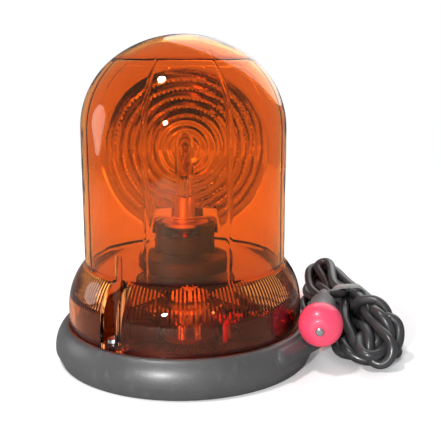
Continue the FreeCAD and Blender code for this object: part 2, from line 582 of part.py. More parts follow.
def bulb():
    flange = "holder_seat + lamp_ring"
    base = turned("bulb_base_turning", [
        ("0", "bulb_shank_bottom"), ("bulb_shank", "bulb_shank_bottom"), ("bulb_shank", flange),
        ("bulb_flange", flange), ("bulb_flange", f"{flange} + bulb_flange_thick"),
        ("ferrule_radius", f"{flange} + bulb_flange_thick"), ("ferrule_radius", "ferrule_top"),
        ("0", "ferrule_top"),
    ])
    spade = box("bulb_spade", "spade_width", "spade_thick", "bulb_shank_bottom - spade_bottom",
                "-spade_width / 2", "-spade_thick / 2", "spade_bottom")
    node(fuse("bulb_base_solid", base, spade), "bulb_base")
    inner = "(glass_radius - glass_wall)"
    node(turned("bulb_glass_body", [
        ("pinch_bore", "ferrule_top"), ("pinch_radius", "ferrule_top"), ("pinch_radius", "pinch_top"),
        ("glass_radius", "pinch_top + 2"), ("glass_radius", "glass_tip - glass_radius"),
        ("0", "glass_tip", "glass_radius"), ("0", "glass_tip - glass_wall"),
        (inner, "glass_tip - glass_radius", f"-{inner}"), (inner, "pinch_top + 2 + glass_wall"),
        ("pinch_bore", "pinch_top + glass_wall"),
    ]), "bulb_glass")
    low, high = "filament_height - filament_length / 2", "filament_height + filament_length / 2"
    node(fuse(
        "bulb_filament_solid",
        cylinder("filament_stem", "stem_radius", "ferrule_top", low),
        cylinder("filament_coil", "filament_radius", low, high),
        cylinder("filament_tip", "stem_radius / 2", high, f"{high} + 3"),
    ), "bulb_filament")


def bulb_clip():
    """Sprung wire that stands on the lamp holder's two lugs and crosses the bulb's flange."""
    reach, wire = size("clip_reach"), size("clip_wire")
    over = size("holder_seat + lamp_ring + bulb_flange_thick") + wire
    foot = size("clip_foot")
    half = [(-reach, foot, size("lug_top")), (-reach, foot, over - foot), (-reach + size("clip_bend"), -foot, over),
            (-size("clip_cross"), -size("clip_dip"), over)]
    route = half + [(0, -size("clip_belly"), over)] + [(-x, y, z) for x, y, z in reversed(half)]
    node(made("bulb_clip", tube("bulb_clip", route, wire)), "bulb_clip")


def lamp_lead():
    height, end = size("lead_hole_height"), size("lamp_lead_end")
    node(made("lamp_lead", tube("lamp_lead", [
        (0, 0, size("spade_bottom")), (0, 0, height), (size("lamp_lead_mouth"), 0, height),
        (size("lamp_lead_x"), size("lamp_lead_y"), height), (size("lamp_lead_way_x"), size("lamp_lead_way_y"), height),
        (size("lamp_lead_turn"), end, height), (size("block_x"), end, height),
    ], size("wire_radius"))), "lamp_lead")


# ---- motor and gears ----

def tooth_outline(teeth, shift, phase):
    """One closed wire round an involute gear: three-point arcs for flanks, straight roots and tips."""
    module = size("gear_module")
    pressure = math.radians(20)
    pitch = module * teeth / 2
    base = pitch * math.cos(pressure)
    root = pitch - module * (1.25 - shift)
    tip = pitch + module * (1 + shift)
    thick = module * (math.pi / 2 + 2 * shift * math.tan(pressure)) - size("tooth_play")

    def half_angle(radius):
        turn = math.acos(min(1, base / radius))
        return thick / (2 * pitch) + math.tan(pressure) - pressure - (math.tan(turn) - turn)

    def point(radius, angle):
        return Vector(radius * math.cos(angle), radius * math.sin(angle), 0)

    low = max(root, base * 1.002)
    middle = (low + tip) / 2
    edges = []
    last = None
    for index in range(teeth + 1):
        centre = phase + 2 * math.pi * index / teeth
        down = [point(radius, centre - half_angle(radius)) for radius in (low, middle, tip)]
        up = [point(radius, centre + half_angle(radius)) for radius in (tip, middle, low)]
        foot = point(root, centre - half_angle(low))
        if last:
            edges.append(Part.LineSegment(last, foot).toShape())
        if index == teeth:
            break
        if (foot - down[0]).Length > 1e-6:
            edges.append(Part.LineSegment(foot, down[0]).toShape())
        edges.append(Part.Arc(*down).toShape())
        edges.append(Part.LineSegment(down[2], up[0]).toShape())
        edges.append(Part.Arc(*up).toShape())
        last = point(root, centre + half_angle(low))
        if (last - up[2]).Length > 1e-6:
            edges.append(Part.LineSegment(up[2], last).toShape())
    return Part.Wire(edges)


def toothed(name, teeth, shift, phase, bottom, top):
    face = Part.Face(tooth_outline(teeth, shift, phase))
    face.translate(Vector(0, 0, bottom))
    return made(name, face.extrude(Vector(0, 0, top - bottom)))


def drive_gear():
    azimuth = math.radians(size("motor_azimuth"))
    rim = toothed("gear_rim", SIZES["gear_teeth"], -size("tooth_shift"), azimuth, size("rim_bottom"),
                  size("rim_top"))
    bottom = "post_collar_top + washer + end_float"
    web = cylinder("gear_web", "web_radius", "web_bottom", "web_top")
    hub = cylinder("gear_hub", "hub_radius", bottom, "table_bottom")
    bore = cylinder("gear_bore", "post_radius + running_gap", f"{bottom} - 1", "table_bottom + 1")
    screws = holes("gear_screw_holes", "small_screw_radius", "table_top - small_screw_head_height - table_screw_bite",
                   "table_bottom + 1", TABLE_SCREWS)
    node(cut("drive_gear_solid", fuse("gear_blank", rim, web, hub), fuse("gear_removed", bore, screws)),
         "drive_gear")


def motor():
    x, y = MOTOR
    blank = place(turned("can_turning", [
        ("0", "can_bottom"), ("can_radius", "can_bottom"), ("can_radius", "can_top - can_round"),
        ("can_radius - can_round", "can_top", "can_round"), ("can_boss", "can_top"), ("can_boss", "can_boss_top"),
        ("0", "can_boss_top"),
    ]), x, y)
    slots = group("can_slots", *[
        box(f"can_slot_{i}", "can_slot_width", "2", "can_slot_height",
            f"{x} + {side} * can_slot_spread - can_slot_width / 2",
            f"{y} - can_radius - 2 + can_slot_depth", "can_top - can_slot_height - 3")
        for i, side in enumerate((1, -1))])
    bore = cylinder("can_bore", "shaft_radius + running_gap", "shaft_bottom - 0.5", "can_boss_top + 1", x, y)
    node(cut("motor_can_solid", blank, fuse("can_removed", slots, bore)), "motor_can")
    sleeve = cut("motor_sleeve_solid",
                 cylinder("sleeve_outside", "can_radius + sleeve", "well_floor_top", "sleeve_top", x, y),
                 cylinder("sleeve_inside", "can_radius", "well_floor_top - 1", "sleeve_top + 1", x, y))
    node(sleeve, "motor_sleeve")
    node(place(turned("motor_end_bell_turning", [
        ("0", "well_floor_top"), ("bell_radius - can_round / 2", "well_floor_top"),
        ("bell_radius", "well_floor_top + can_round / 2", "can_round / 2"), ("bell_radius", "can_bottom"),
        ("0", "can_bottom"),
    ]), x, y), "motor_end_bell")
    node(cylinder("motor_shaft_solid", "shaft_radius", "shaft_bottom", "shaft_top", x, y), "motor_shaft")
    azimuth = math.radians(size("motor_azimuth"))
    half_tooth = math.pi / SIZES["pinion_teeth"]
    teeth = toothed("pinion_teeth_solid", SIZES["pinion_teeth"], size("tooth_shift"),
                    azimuth + math.pi + half_tooth, size("pinion_bottom"), size("pinion_top"))
    teeth.Placement = Placement(Vector(size(x), size(y), 0), Rotation())
    place(teeth, x, y)
    hole = cylinder("pinion_hole", "shaft_radius", "pinion_bottom - 1", "pinion_top + 1", x, y)
    node(cut("pinion_solid", teeth, hole), "pinion")


# ---- rotor above the gear ----

def rotor_table():
    rim = turned("table_turning", [
        ("post_radius + running_gap", "table_bottom"), ("table_radius - table_round", "table_bottom"),
        ("table_radius", "table_bottom + table_round", "table_round"), ("table_radius", "table_top - table_round"),
        ("table_radius - table_round", "table_top", "table_round"), ("post_radius + running_gap", "table_top"),
    ])
    sink = "table_top - small_screw_head_height"
    removed = fuse(
        "table_removed",
        holes("table_sinks", "small_screw_head", sink, "table_top + 1", TABLE_SCREWS),
        holes("table_holes", "small_screw_radius", "table_bottom - 1", "table_top", TABLE_SCREWS),
        holes("table_bracket_holes", "small_screw_radius", "table_top - bracket_screw_bite", "table_top + 1",
              BRACKET_SCREWS),
    )
    node(cut("rotor_table_solid", rim, removed), "rotor_table")
    node(group("table_screw_group", *[
        screw(f"table_screw_{i}", "small_screw_radius", "small_screw_head", "small_screw_head_height", sink,
              "table_screw_bite", x, y) for i, (x, y) in enumerate(TABLE_SCREWS)]), "table_screws")


def reflector_bracket():
    foot = box("bracket_foot", "bracket_width", "bracket_face + bracket_sheet - bracket_front", "bracket_sheet",
               "-bracket_width / 2", "bracket_front", "table_top")
    back = padded("bracket_back", "XZ_Plane", [
        ("-bracket_width / 2", "table_top"), ("bracket_width / 2", "table_top"),
        ("bracket_tip_width / 2", "bracket_top"), ("-bracket_tip_width / 2", "bracket_top"),
    ], "bracket_sheet")
    place(back, "0", "bracket_face + bracket_sheet", "0")
    rib = padded("bracket_rib", "YZ_Plane", [
        ("bracket_face - bracket_rib", "table_top + bracket_sheet"), ("bracket_face", "table_top + bracket_sheet"),
        ("bracket_face", "table_top + bracket_sheet + bracket_rib"),
    ], "bracket_sheet", midplane=True)
    solid = fuse("bracket_solid", foot, back, rib)
    removed = fuse("bracket_removed",
                   holes("bracket_foot_holes", "small_screw_radius", "table_top - 1",
                         "table_top + bracket_sheet + 1", BRACKET_SCREWS),
                   rivet_bars("bracket_rivet_holes", "rivet_radius", "bracket_face - 1",
                              "bracket_face + bracket_sheet + 1"))
    node(cut("reflector_bracket_solid", solid, removed), "reflector_bracket")
    node(group("bracket_screw_group", *[
        screw(f"bracket_screw_{i}", "small_screw_radius", "small_screw_head", "small_screw_head_height",
              "table_top + bracket_sheet", "bracket_screw_bite", x, y) for i, (x, y) in enumerate(BRACKET_SCREWS)]),
        "bracket_screws")


def rivet_bars(name, radius, front, back):
    """Two bars along Y, above and below the dish's middle."""
    bars = []
    for index, sign in enumerate(("+", "-")):
        bar = primitive("Cylinder", f"{name}_{index}", Radius=radius, Height=f"({back}) - ({front})")
        bar.Placement = Placement(Vector(), Rotation(Vector(1, 0, 0), -90))
        bars.append(place(bar, "0", front, f"dish_height {sign} rivet_spread"))
    return group(name, *bars)


def reflector_dish():
    """Stepped parabolic dish: cone bands between circles whose radii run evenly to the rim."""
    bands = SIZES["dish_band_count"]

    def hollow(radius):
        return f"({radius}) ^ 2 / (4 * dish_focal_length)"

    inner = [("0", "0")]
    for index in range(1, bands + 1):
        radius = f"dish_radius * {index} / dish_band_count"
        inner.append((radius, hollow(radius)))
        if index < bands:
            inner.append((radius, f"{hollow(radius)} - dish_step"))
    rim = f"{hollow('dish_radius')}"
    outer = [("dish_radius + dish_lip", rim), ("dish_radius + dish_lip", f"{rim} - dish_wall")]
    for index in range(bands - 1, -1, -2):
        radius = f"dish_radius * {index} / dish_band_count"
        outer.append((radius, f"{hollow(radius)} - dish_wall - dish_step"))
    body = turned("dish_turning", inner + outer)
    body.Placement = Placement(Vector(), Rotation(Vector(1, 0, 0), 90))
    place(body, "0", "dish_focal_length", "dish_height")
    boss = primitive("Cylinder", "dish_back_boss", Radius="dish_boss",
                     Height="bracket_face - dish_focal_length - dish_wall / 2")
    boss.Placement = Placement(Vector(), Rotation(Vector(1, 0, 0), -90))
    place(boss, "0", "dish_focal_length + dish_wall / 2", "dish_height")
    removed = fuse(
        "dish_removed",
        cylinder("dish_notch_cut", "dish_notch", "dish_height - dish_radius - 5", "dish_notch_top"),
        rivet_bars("dish_rivet_holes", "rivet_radius", "dish_focal_length + dish_wall / 2", "bracket_face + 1"),
    )
    node(cut("reflector_dish_solid", fuse("dish_with_boss", body, boss), removed), "reflector_dish")
    shanks = rivet_bars("rivet_shanks", "rivet_radius", "dish_focal_length + dish_wall / 2",
                        "bracket_face + bracket_sheet")
    heads = rivet_bars("rivet_heads", "rivet_head", "bracket_face + bracket_sheet",
                       "bracket_face + bracket_sheet + rivet_head_thick")
    node(fuse("dish_rivets_solid", shanks, heads), "dish_rivets")


# ---- deck ----

def deck_blocks():
    lid = "suppressor_rise"
    body = rounded_block("suppressor_case", "suppressor_long", "suppressor_wide", f"suppressor_tall - {lid}",
                         "suppressor_x", "suppressor_y", "plate_top", "suppressor_round")
    cap = rounded_block("suppressor_cap", f"suppressor_long - 2 * {lid}", f"suppressor_wide - 2 * {lid}", lid,
                        f"suppressor_x + {lid}", f"suppressor_y + {lid}", f"plate_top + suppressor_tall - {lid}",
                        "suppressor_round / 2")
    node(fuse("suppressor_solid", body, cap), "suppressor")
    # The block has a barrier at each end and one in the middle, with a terminal's bay between them.
    bay_floor = "plate_top + block_tall - terminal_drop"
    middles = [f"block_x + block_long / 2 {sign} terminal_spread" for sign in "-+"]
    bays = [box(f"terminal_bay_{i}", "terminal_width", "2 * terminal_place + 1", "terminal_drop + 1",
                f"{middle} - terminal_width / 2", "block_y - 1", bay_floor) for i, middle in enumerate(middles)]
    block = rounded_block("terminal_block_case", "block_long", "block_wide", "block_tall", "block_x", "block_y",
                          "plate_top", "block_round")
    node(cut("terminal_block_solid", block, group("terminal_bays", *bays)), "terminal_block")
    node(group("terminal_screw_group", *[
        cylinder(f"terminal_screw_{i}", "small_screw_head", bay_floor, f"{bay_floor} + small_screw_head_height / 2",
                 middle, "block_y + terminal_place") for i, middle in enumerate(middles)]), "terminal_screws")
    side, floor, low = size("block_x"), size("plate_top"), size("plate_top - lead_drop")
    a_x, a_y, a_end, a_level = size("lead_a_x"), size("lead_a_y"), size("lead_a_end"), floor + size("lead_a_level")
    b_x, b_y, b_end, b_level = size("lead_b_x"), size("lead_b_y"), size("lead_b_end"), floor + size("lead_b_level")
    wires = [
        [(a_x, a_y, low), (a_x, a_y, floor + size("lead_a_rise")), (size("lead_a_bend"), a_end, a_level),
         (side, a_end, a_level)],
        [(b_x, b_y, low), (b_x, b_y, floor + size("lead_b_rise")), (b_x, b_end, b_level), (side, b_end, b_level)],
    ]
    node(group("motor_leads_group", *[
        made(f"motor_lead_{i}", tube(f"motor_lead_{i}", wire, size("wire_radius")))
        for i, wire in enumerate(wires)]), "motor_leads")


# ---- lead and plug ----

def plug_at(item, turn=0):
    """Puts a piece modelled along +Z, nose up, on the plug's axis."""
    item.Placement = plug_frame().multiply(Placement(Vector(), Rotation(Vector(0, 0, 1), turn)))
    return item


def plug_frame():
    lie = Rotation(Vector(0, 0, 1), size("plug_yaw")).multiply(Rotation(Vector(1, 0, 0), 90))
    return Placement(Vector(size("plug_x"), size("plug_y"), size("plug_z")), lie)


def plug_point(along, across=0, up=0):
    return tuple(plug_frame().multVec(Vector(across, up, along)))


LEAD_ROUTE = [
    EXIT, plain_boss_point("boss_end + 9"), (74.8, 4, 7.4), (75.6, 16, 4), (73.2, 29, 2.6), (69.6, 43, 2.5),
    (66.4, 55, 2.5), (66.8, 66, 2.5), (71.5, 74, 2.5),
]


TAIL_ROUTE = [
    plug_point(-size("plug_back + relief_length")), plug_point(-size("plug_back + relief_length") - 8),
    (76.2, 32, 22), (79.8, 39, 20),
]


def cords():
    radius = size("cord_radius")
    node(made("cord_lead", tube("cord_lead", LEAD_ROUTE, radius)), "cord_lead")
    node(made("cord_tail", tube("cord_tail", TAIL_ROUTE, radius)), "cord_tail")


def lengthwise(block):
    """The edges of a box that run along X."""
    return [edge for edge in block.Edges if edge.BoundBox.YLength < 1e-6 and edge.BoundBox.ZLength < 1e-6]


def hank():
    """Two round lobes and a waist, all tangent arcs, standing on the floor."""
    back, front = size("back_lobe"), size("front_lobe")
    waist = size("waist")
    start = Vector(size("back_x"), size("back_y"), 0)
    way = Vector(size("front_x"), size("front_y"), 0) - start
    span = way.Length
    low, high = 30.0, 400.0
    for _ in range(60):
        hollow = (low + high) / 2
        reach = (math.sqrt((hollow + back) ** 2 - (hollow + waist) ** 2)
                 + math.sqrt((hollow + front) ** 2 - (hollow + waist) ** 2))
        low, high = (hollow, high) if reach < span else (low, hollow)
    near = math.sqrt((hollow + back) ** 2 - (hollow + waist) ** 2)
    points = []
    for side in (1, -1):
        centre = Vector(near, side * (hollow + waist), 0)
        points.append([
            centre * (back / (hollow + back)),
            Vector(near, side * waist, 0),
            Vector(span, 0, 0) + (centre - Vector(span, 0, 0)) * (front / (hollow + front)),
        ])
    left, right = points
    edges = [
        Part.Arc(left[0], Vector(-back, 0, 0), right[0]), Part.Arc(*right),
        Part.Arc(right[2], Vector(span + front, 0, 0), left[2]), Part.Arc(*reversed(left)),
    ]
    face = Part.Face(Part.Wire([edge.toShape() for edge in edges]))
    solid = face.extrude(Vector(0, 0, size("hank_tall")))
    rims = [edge for edge in solid.Edges if abs(edge.BoundBox.ZLength) < 1e-6]
    solid = solid.makeFillet(size("hank_round"), rims)
    solid.Placement = Placement(start, Rotation(Vector(1, 0, 0), way))
    shape = made("hank_outline", solid)
    turn = math.degrees(math.atan2(way.y, way.x))
    frame = Placement(Vector(size("tie_x"), size("tie_y"), 0), Rotation(Vector(0, 0, 1), turn))
    wide = 2 * (waist + size("tie_play"))
    outer = Part.makeBox(size("tie_width"), wide, size("hank_tall"), Vector(-size("tie_width") / 2, -wide / 2, 0))
    outer = outer.makeFillet(size("tie_round"), lengthwise(outer))
    thick = size("tie_thick")
    inner = Part.makeBox(size("tie_width") + 2, wide - 2 * thick, size("hank_tall") - 2 * thick,
                         Vector(-size("tie_width") / 2 - 1, thick - wide / 2, thick))
    inner = inner.makeFillet(size("tie_round") - thick, lengthwise(inner))
    band = outer.cut(inner)
    band.Placement = frame
    tie = made("cord_tie_solid", band)
    node(tie, "cord_tie")
    ends = fuse("hank_ends",
                made("hank_lead_room", tube("hank lead end", LEAD_ROUTE[-2:], size("cord_radius"))),
                made("hank_tail_room", tube("hank tail end", TAIL_ROUTE, size("cord_radius"))),
                made("hank_tie_room", band))
    node(cut("cord_hank_solid", shape, ends), "cord_hank")


def plug():
    back, front = "-plug_back", "plug_front"
    pin_room = "pin_radius + running_gap"
    body = turned("plug_body_turning", [
        ("plug_bore", front), ("plug_radius - 0.6", front), ("plug_radius", f"{front} - 0.6"),
        ("plug_radius", f"{back} + 1.5"), ("plug_radius - 1.5", back), ("relief_tip", back),
        ("relief_tip", f"{front} - plug_bore_depth"), ("plug_bore", f"{front} - plug_bore_depth"),
    ])
    windows = [box(f"plug_window_{side}", "contact_thick * 6", "contact_wide + 0.4", "contact_long + 0.4",
                   "plug_bore - 0.2" if side > 0 else "-plug_bore + 0.2 - contact_thick * 6",
                   "-contact_wide / 2 - 0.2", "-contact_from - contact_long - 0.2") for side in (1, -1)]
    node(plug_at(cut("plug_body_solid", body, fuse("plug_windows", *windows))), "plug_body")
    node(plug_at(turned("plug_adapter_body", [
        ("plug_radius", "-adapter_back"), ("adapter_radius - 0.6", "-adapter_back"),
        ("adapter_radius", "-adapter_back + 0.6"), ("adapter_radius", "0"),
        ("adapter_nose", "adapter_front", "adapter_round"), (pin_room, "adapter_front"), (pin_room, "plug_front + 1.5"),
        ("pin_head + 0.3", "plug_front + 1.5"), ("pin_head + 0.3", "plug_front"), ("plug_radius", "plug_front"),
    ])), "plug_adapter")
    shoulder = "plug_front + 1.5"
    node(plug_at(turned("plug_tip_body", [
        ("0", f"{shoulder} - pin_head_thick"), ("pin_head", f"{shoulder} - pin_head_thick"),
        ("pin_head", shoulder), ("pin_radius", shoulder), ("pin_radius", "pin_tip - 0.8"),
        ("pin_radius - 0.8", "pin_tip", "0.8"), ("0", "pin_tip"),
    ])), "plug_tip")
    spring_top = f"{shoulder} - pin_head_thick"
    fuse_top = f"{front} - plug_bore_depth + fuse_length"
    node(plug_at(ringed("plug_spring_body", "pin_head - spring_wire * 2", "pin_head", fuse_top, spring_top)),
         "plug_spring")
    foot = f"{front} - plug_bore_depth"
    node(plug_at(turned("plug_fuse_body", [
        ("0", foot), ("fuse_radius", foot), ("fuse_radius", fuse_top), ("0", fuse_top),
    ])), "plug_fuse")
    node(plug_at(turned("plug_relief_body", [
        ("0", back), ("relief_radius", back), ("relief_radius", f"{back} - 3"),
        ("relief_tip", f"{back} - relief_length"), ("0", f"{back} - relief_length"),
    ])), "plug_relief")
    for side, label in ((1, "contact_right"), (-1, "contact_left")):
        out = "plug_radius + contact_rise"
        leaf = padded(label + "_leaf", "XZ_Plane", [
            (f"{out} - contact_thick - contact_rise", "-contact_from - contact_long"),
            (f"{out} - contact_rise", "-contact_from - contact_long"),
            (out, "-contact_from - contact_long * 0.65"), (out, "-contact_from - contact_long * 0.35"),
            (f"{out} - contact_rise", "-contact_from"), (f"{out} - contact_thick - contact_rise", "-contact_from"),
        ], "contact_wide", midplane=True)
        node(plug_at(leaf, 0 if side > 0 else 180), label)


def main():
    cord_inner()
    rubber_boot()
    magnet()
    base_plate()
    dome_lens()
    lens_parts()
    lamp_post()
    lamp_holder()
    bulb()
    bulb_clip()
    lamp_lead()
    drive_gear()
    motor()
    rotor_table()
    reflector_bracket()
    reflector_dish()
    deck_blocks()
    cords()
    hank()
    plug()
    doc.recompute()
    failed = [item.Label for item in doc.Objects if "Invalid" in item.State or "Error" in item.State]
    if failed:
        raise RuntimeError(f"objects that failed: {failed}")
    os.makedirs("parts", exist_ok=True)
    for item in exported:
        if item.Shape.isNull() or not item.Shape.isValid() or not item.Shape.Solids:
            raise RuntimeError(f"{item.Label} has no valid solid")
    for item in exported:
        item.Shape.exportStep(f"parts/{item.Label}.step")
    print(len(exported), "sub-parts")


main()
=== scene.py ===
"""Looks for a rotating beacon: amber dome, turning reflector, rubber foot, tied lead and 12 V plug.

Metres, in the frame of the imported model: +Z up, the foot's underside at z = 0, the front is -Y.
"""

import json
import math
import random

import bmesh
import bpy
import numpy as np
from bpy.props import (
    FloatProperty,
    FloatVectorProperty,
    IntProperty,
    PointerProperty,
)
from mathutils import Euler, Matrix, Vector

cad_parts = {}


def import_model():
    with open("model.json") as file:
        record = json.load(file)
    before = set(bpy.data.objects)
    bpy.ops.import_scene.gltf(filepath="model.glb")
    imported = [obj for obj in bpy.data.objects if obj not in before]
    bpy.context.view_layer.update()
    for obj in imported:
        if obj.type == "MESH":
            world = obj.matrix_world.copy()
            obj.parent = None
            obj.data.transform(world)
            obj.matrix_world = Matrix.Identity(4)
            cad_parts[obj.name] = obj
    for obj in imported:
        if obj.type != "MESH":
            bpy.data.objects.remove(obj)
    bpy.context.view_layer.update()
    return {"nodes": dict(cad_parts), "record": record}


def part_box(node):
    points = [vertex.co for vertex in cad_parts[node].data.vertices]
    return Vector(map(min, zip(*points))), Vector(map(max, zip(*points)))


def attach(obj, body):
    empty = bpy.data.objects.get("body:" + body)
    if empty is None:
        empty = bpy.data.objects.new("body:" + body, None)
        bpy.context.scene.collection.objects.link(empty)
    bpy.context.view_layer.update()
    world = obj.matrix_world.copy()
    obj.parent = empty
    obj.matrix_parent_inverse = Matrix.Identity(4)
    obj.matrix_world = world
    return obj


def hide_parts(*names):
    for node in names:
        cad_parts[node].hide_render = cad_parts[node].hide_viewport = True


bl_info = {
    "name": "Rotating beacon",
    "version": (1, 0, 0),
    "blender": (4, 5, 0),
    "location": "View3D > Sidebar > Beacon",
    "description": "Builds the dome, reflector, foot, lead and plug of a rotating beacon around its frame",
    "category": "Object",
}

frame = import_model()
NODES = frame["nodes"]
MM = 0.001


# ---- sizes and colours that a user would change ----

def length(text, default, name):
    return FloatProperty(name=name, description=text, default=default, unit="LENGTH", subtype="DISTANCE",
                         precision=5)


def tint(text, default, name):
    return FloatVectorProperty(name=name, description=text, default=default, subtype="COLOR", size=3,
                               min=0, max=1)


class DomeSizes(bpy.types.PropertyGroup):
    wall: length("Thickness of the dome's wall", 2.5 * MM, "Wall")
    skirt_top: length("Height where the straight skirt ends", 26 * MM, "Skirt top")
    shoulder: length("Radius of the rounded shoulder's profile", 32.7 * MM, "Shoulder")
    barrel: length("Outer radius of the upright barrel", 49.4 * MM, "Barrel")
    spring: length("Height where the barrel starts to close", 112 * MM, "Spring line")
    corner: length("Radius of the curve from the barrel to the crown", 42 * MM, "Corner")
    flute: length("Depth of the upright flutes inside the skirt", 0.42 * MM, "Flute depth")
    flute_foot: length("Height where the flutes start", 20 * MM, "Flute foot")
    rib: length("Height of the ribs inside the dome", 0.20 * MM, "Rib")
    pocket: length("Radius of the screw pockets", 4.35 * MM, "Pocket")
    pocket_wall: length("Wall of the screw pockets", 2 * MM, "Pocket wall")
    pocket_floor: length("Height of the floor of the screw pockets", 19.8 * MM, "Pocket floor")
    hole: length("Radius of the holes for the screws", 1.95 * MM, "Screw hole")
    skin: length("How far the pocket walls stay inside the outer surface", 0.2 * MM, "Skin")
    segments: IntProperty(name="Segments", description="Steps round the dome, two to a flute", default=360,
                          min=90)
    ribs: IntProperty(name="Ribs", description="Upright ribs inside the dome", default=8, min=0)
    rib_azimuth: FloatProperty(name="Rib azimuth", description="Azimuth of the first rib in degrees",
                               default=-108)


class LeadSizes(bpy.types.PropertyGroup):
    radius: length("Radius of the lead", 2.5 * MM, "Radius")
    turns: IntProperty(name="Turns", description="Turns wound into the tied hank", default=7, min=1, max=7)
    eased: IntProperty(name="Eased", description="Points of the plain ends that give way too", default=7,
                       min=0)
    real_length: length("The lead's whole length", 1.9, "Length")
    unrest: length("How far a strand strays from its neat place", 0.5 * MM, "Unrest")


class Colours(bpy.types.PropertyGroup):
    amber: tint("Amber of the dome, through one wall", (0.81, 0.285, 0.052), "Amber")
    rubber: tint("Rubber of the foot", (0.060, 0.060, 0.061), "Rubber")
    lead: tint("Jacket of the lead", (0.032, 0.032, 0.034), "Lead")
    nose: tint("Plug's adapter", (0.80, 0.06, 0.13), "Adapter")
    grip: tint("Plug's body", (0.16, 0.17, 0.17), "Plug body")
    tie: tint("Tie round the hank", (0.24, 0.27, 0.25), "Tie")
    floor: tint("Floor", (0.93, 0.93, 0.93), "Floor")


class Beacon(bpy.types.PropertyGroup):
    dome: PointerProperty(type=DomeSizes)
    lead: PointerProperty(type=LeadSizes)
    colours: PointerProperty(type=Colours)


def settings():
    return bpy.context.scene.beacon


def colours():
    return settings().colours


# ---- shader maths ----

class Wire:
    """A shader socket that adds Math nodes when it is used in an expression."""

    def __init__(self, finish, socket):
        self.finish, self.socket = finish, socket

    def maths(self, operation, other):
        return self.finish.add("ShaderNodeMath", {"operation": operation}, {0: self, 1: other})

    def __add__(self, other):
        return self.maths("ADD", other)

    def __rsub__(self, other):
        return self.finish.add("ShaderNodeMath", {"operation": "SUBTRACT"}, {0: other, 1: self})

    def __mul__(self, other):
        return self.maths("MULTIPLY", other)

    __radd__ = __add__
    __rmul__ = __mul__

    def above(self, edge, soft):
        """0 below the edge and 1 above it, over a soft step."""
        return self.finish.add("ShaderNodeMapRange", {"interpolation_type": "SMOOTHSTEP"},
                               {"Value": self, "From Min": edge - soft, "From Max": edge + soft})


def socket_name(name):
    """The Principled shader's socket for a keyword: base_color to Base Color."""
    return name.replace("_", " ").title().replace("Ior", "IOR")


class Finish:
    """One material: a Principled shader and the nodes that feed it."""

    def __init__(self, name, **sockets):
        self.material = bpy.data.materials.new(name)
        self.material.use_nodes = True
        self.tree = self.material.node_tree
        self.tree.nodes.clear()
        self.out = self.tree.nodes.new("ShaderNodeOutputMaterial")
        self.shader = self.tree.nodes.new("ShaderNodeBsdfPrincipled")
        self.tree.links.new(self.shader.outputs[0], self.out.inputs["Surface"])
        self.set(self.shader, {socket_name(name): value for name, value in sockets.items()})
        self.place = self.node("ShaderNodeTexCoord").outputs["Object"]

    def set(self, node, sockets):
        for name, value in sockets.items():
            socket = node.inputs[name]
            if isinstance(value, Wire):
                self.tree.links.new(value.socket, socket)
            elif isinstance(value, bpy.types.NodeSocket):
                self.tree.links.new(value, socket)
            elif hasattr(value, "__len__") and socket.type == "RGBA" and len(value) == 3:
                socket.default_value = (*value, 1)
            else:
                socket.default_value = value

    def node(self, kind, settings=None, sockets=None):
        made = self.tree.nodes.new(kind)
        for name, value in (settings or {}).items():
            setattr(made, name, value)
        self.set(made, sockets or {})
        return made

    def add(self, kind, settings=None, sockets=None, output=0):
        return Wire(self, self.node(kind, settings, sockets).outputs[output])

    def noise(self, scale, detail=3.0, rough=0.55, stretch=None):
        """Noise of that many features a metre, from 0 to 1."""
        place = self.place
        if stretch:
            place = self.node("ShaderNodeMapping", None, {"Vector": place, "Scale": stretch}).outputs[0]
        return self.add("ShaderNodeTexNoise", None,
                        {"Vector": place, "Scale": scale, "Detail": detail, "Roughness": rough})

    def mix(self, share, low, high):
        """A colour between two."""
        made = self.node("ShaderNodeMix", {"data_type": "RGBA"})
        self.set(made, {0: share})
        for index, value in ((6, low), (7, high)):
            if isinstance(value, (Wire, bpy.types.NodeSocket)):
                self.tree.links.new(getattr(value, "socket", value), made.inputs[index])
            else:
                made.inputs[index].default_value = (*value, 1)
        return Wire(self, made.outputs[2])

    def bump(self, height, depth, strength=1.0, under=None):
        sockets = {"Height": height, "Distance": depth, "Strength": strength}
        if under is not None:
            sockets["Normal"] = under
        return self.add("ShaderNodeBump", None, sockets)

    def feed(self, **sockets):
        self.set(self.shader, {socket_name(name): value for name, value in sockets.items()})
        return self


def shade(colour, factor):
    return tuple(min(1.0, channel * factor) for channel in colour)


# ---- finishes ----

def rubber():
    """Moulded rubber: cloudy bloom, fine grain and faint scuffs."""
    base = tuple(colours().rubber)
    look = Finish("moulded rubber", specular_ior_level=0.7, coat_weight=0.35, coat_roughness=0.30)
    bloom = look.noise(55, 4)
    grain = look.noise(1600, 3)
    scuff = look.noise(260, 5, 0.6, stretch=(1, 1, 0.35)).above(0.62, 0.10)
    colour = look.mix(bloom, shade(base, 0.78), shade(base, 1.25))
    colour = look.mix(scuff * 0.35, colour, shade(base, 1.9))
    return look.feed(base_color=colour, roughness=0.32 + bloom * 0.16 + scuff * 0.10,
                     normal=look.bump(grain, 0.00016, 0.7, look.bump(bloom, 0.0006, 0.25)))


def plastic(name, base, rough, grain=2200.0, depth=0.00006, **sockets):
    """Moulded plastic: slight colour drift, spark-eroded grain and uneven gloss."""
    look = Finish(name, **sockets)
    drift = look.noise(90, 3)
    fine = look.noise(grain, 2)
    return look.feed(base_color=look.mix(drift, shade(base, 0.85), shade(base, 1.12)),
                     roughness=rough - 0.05 + drift * 0.10, normal=look.bump(fine, depth, 0.4))


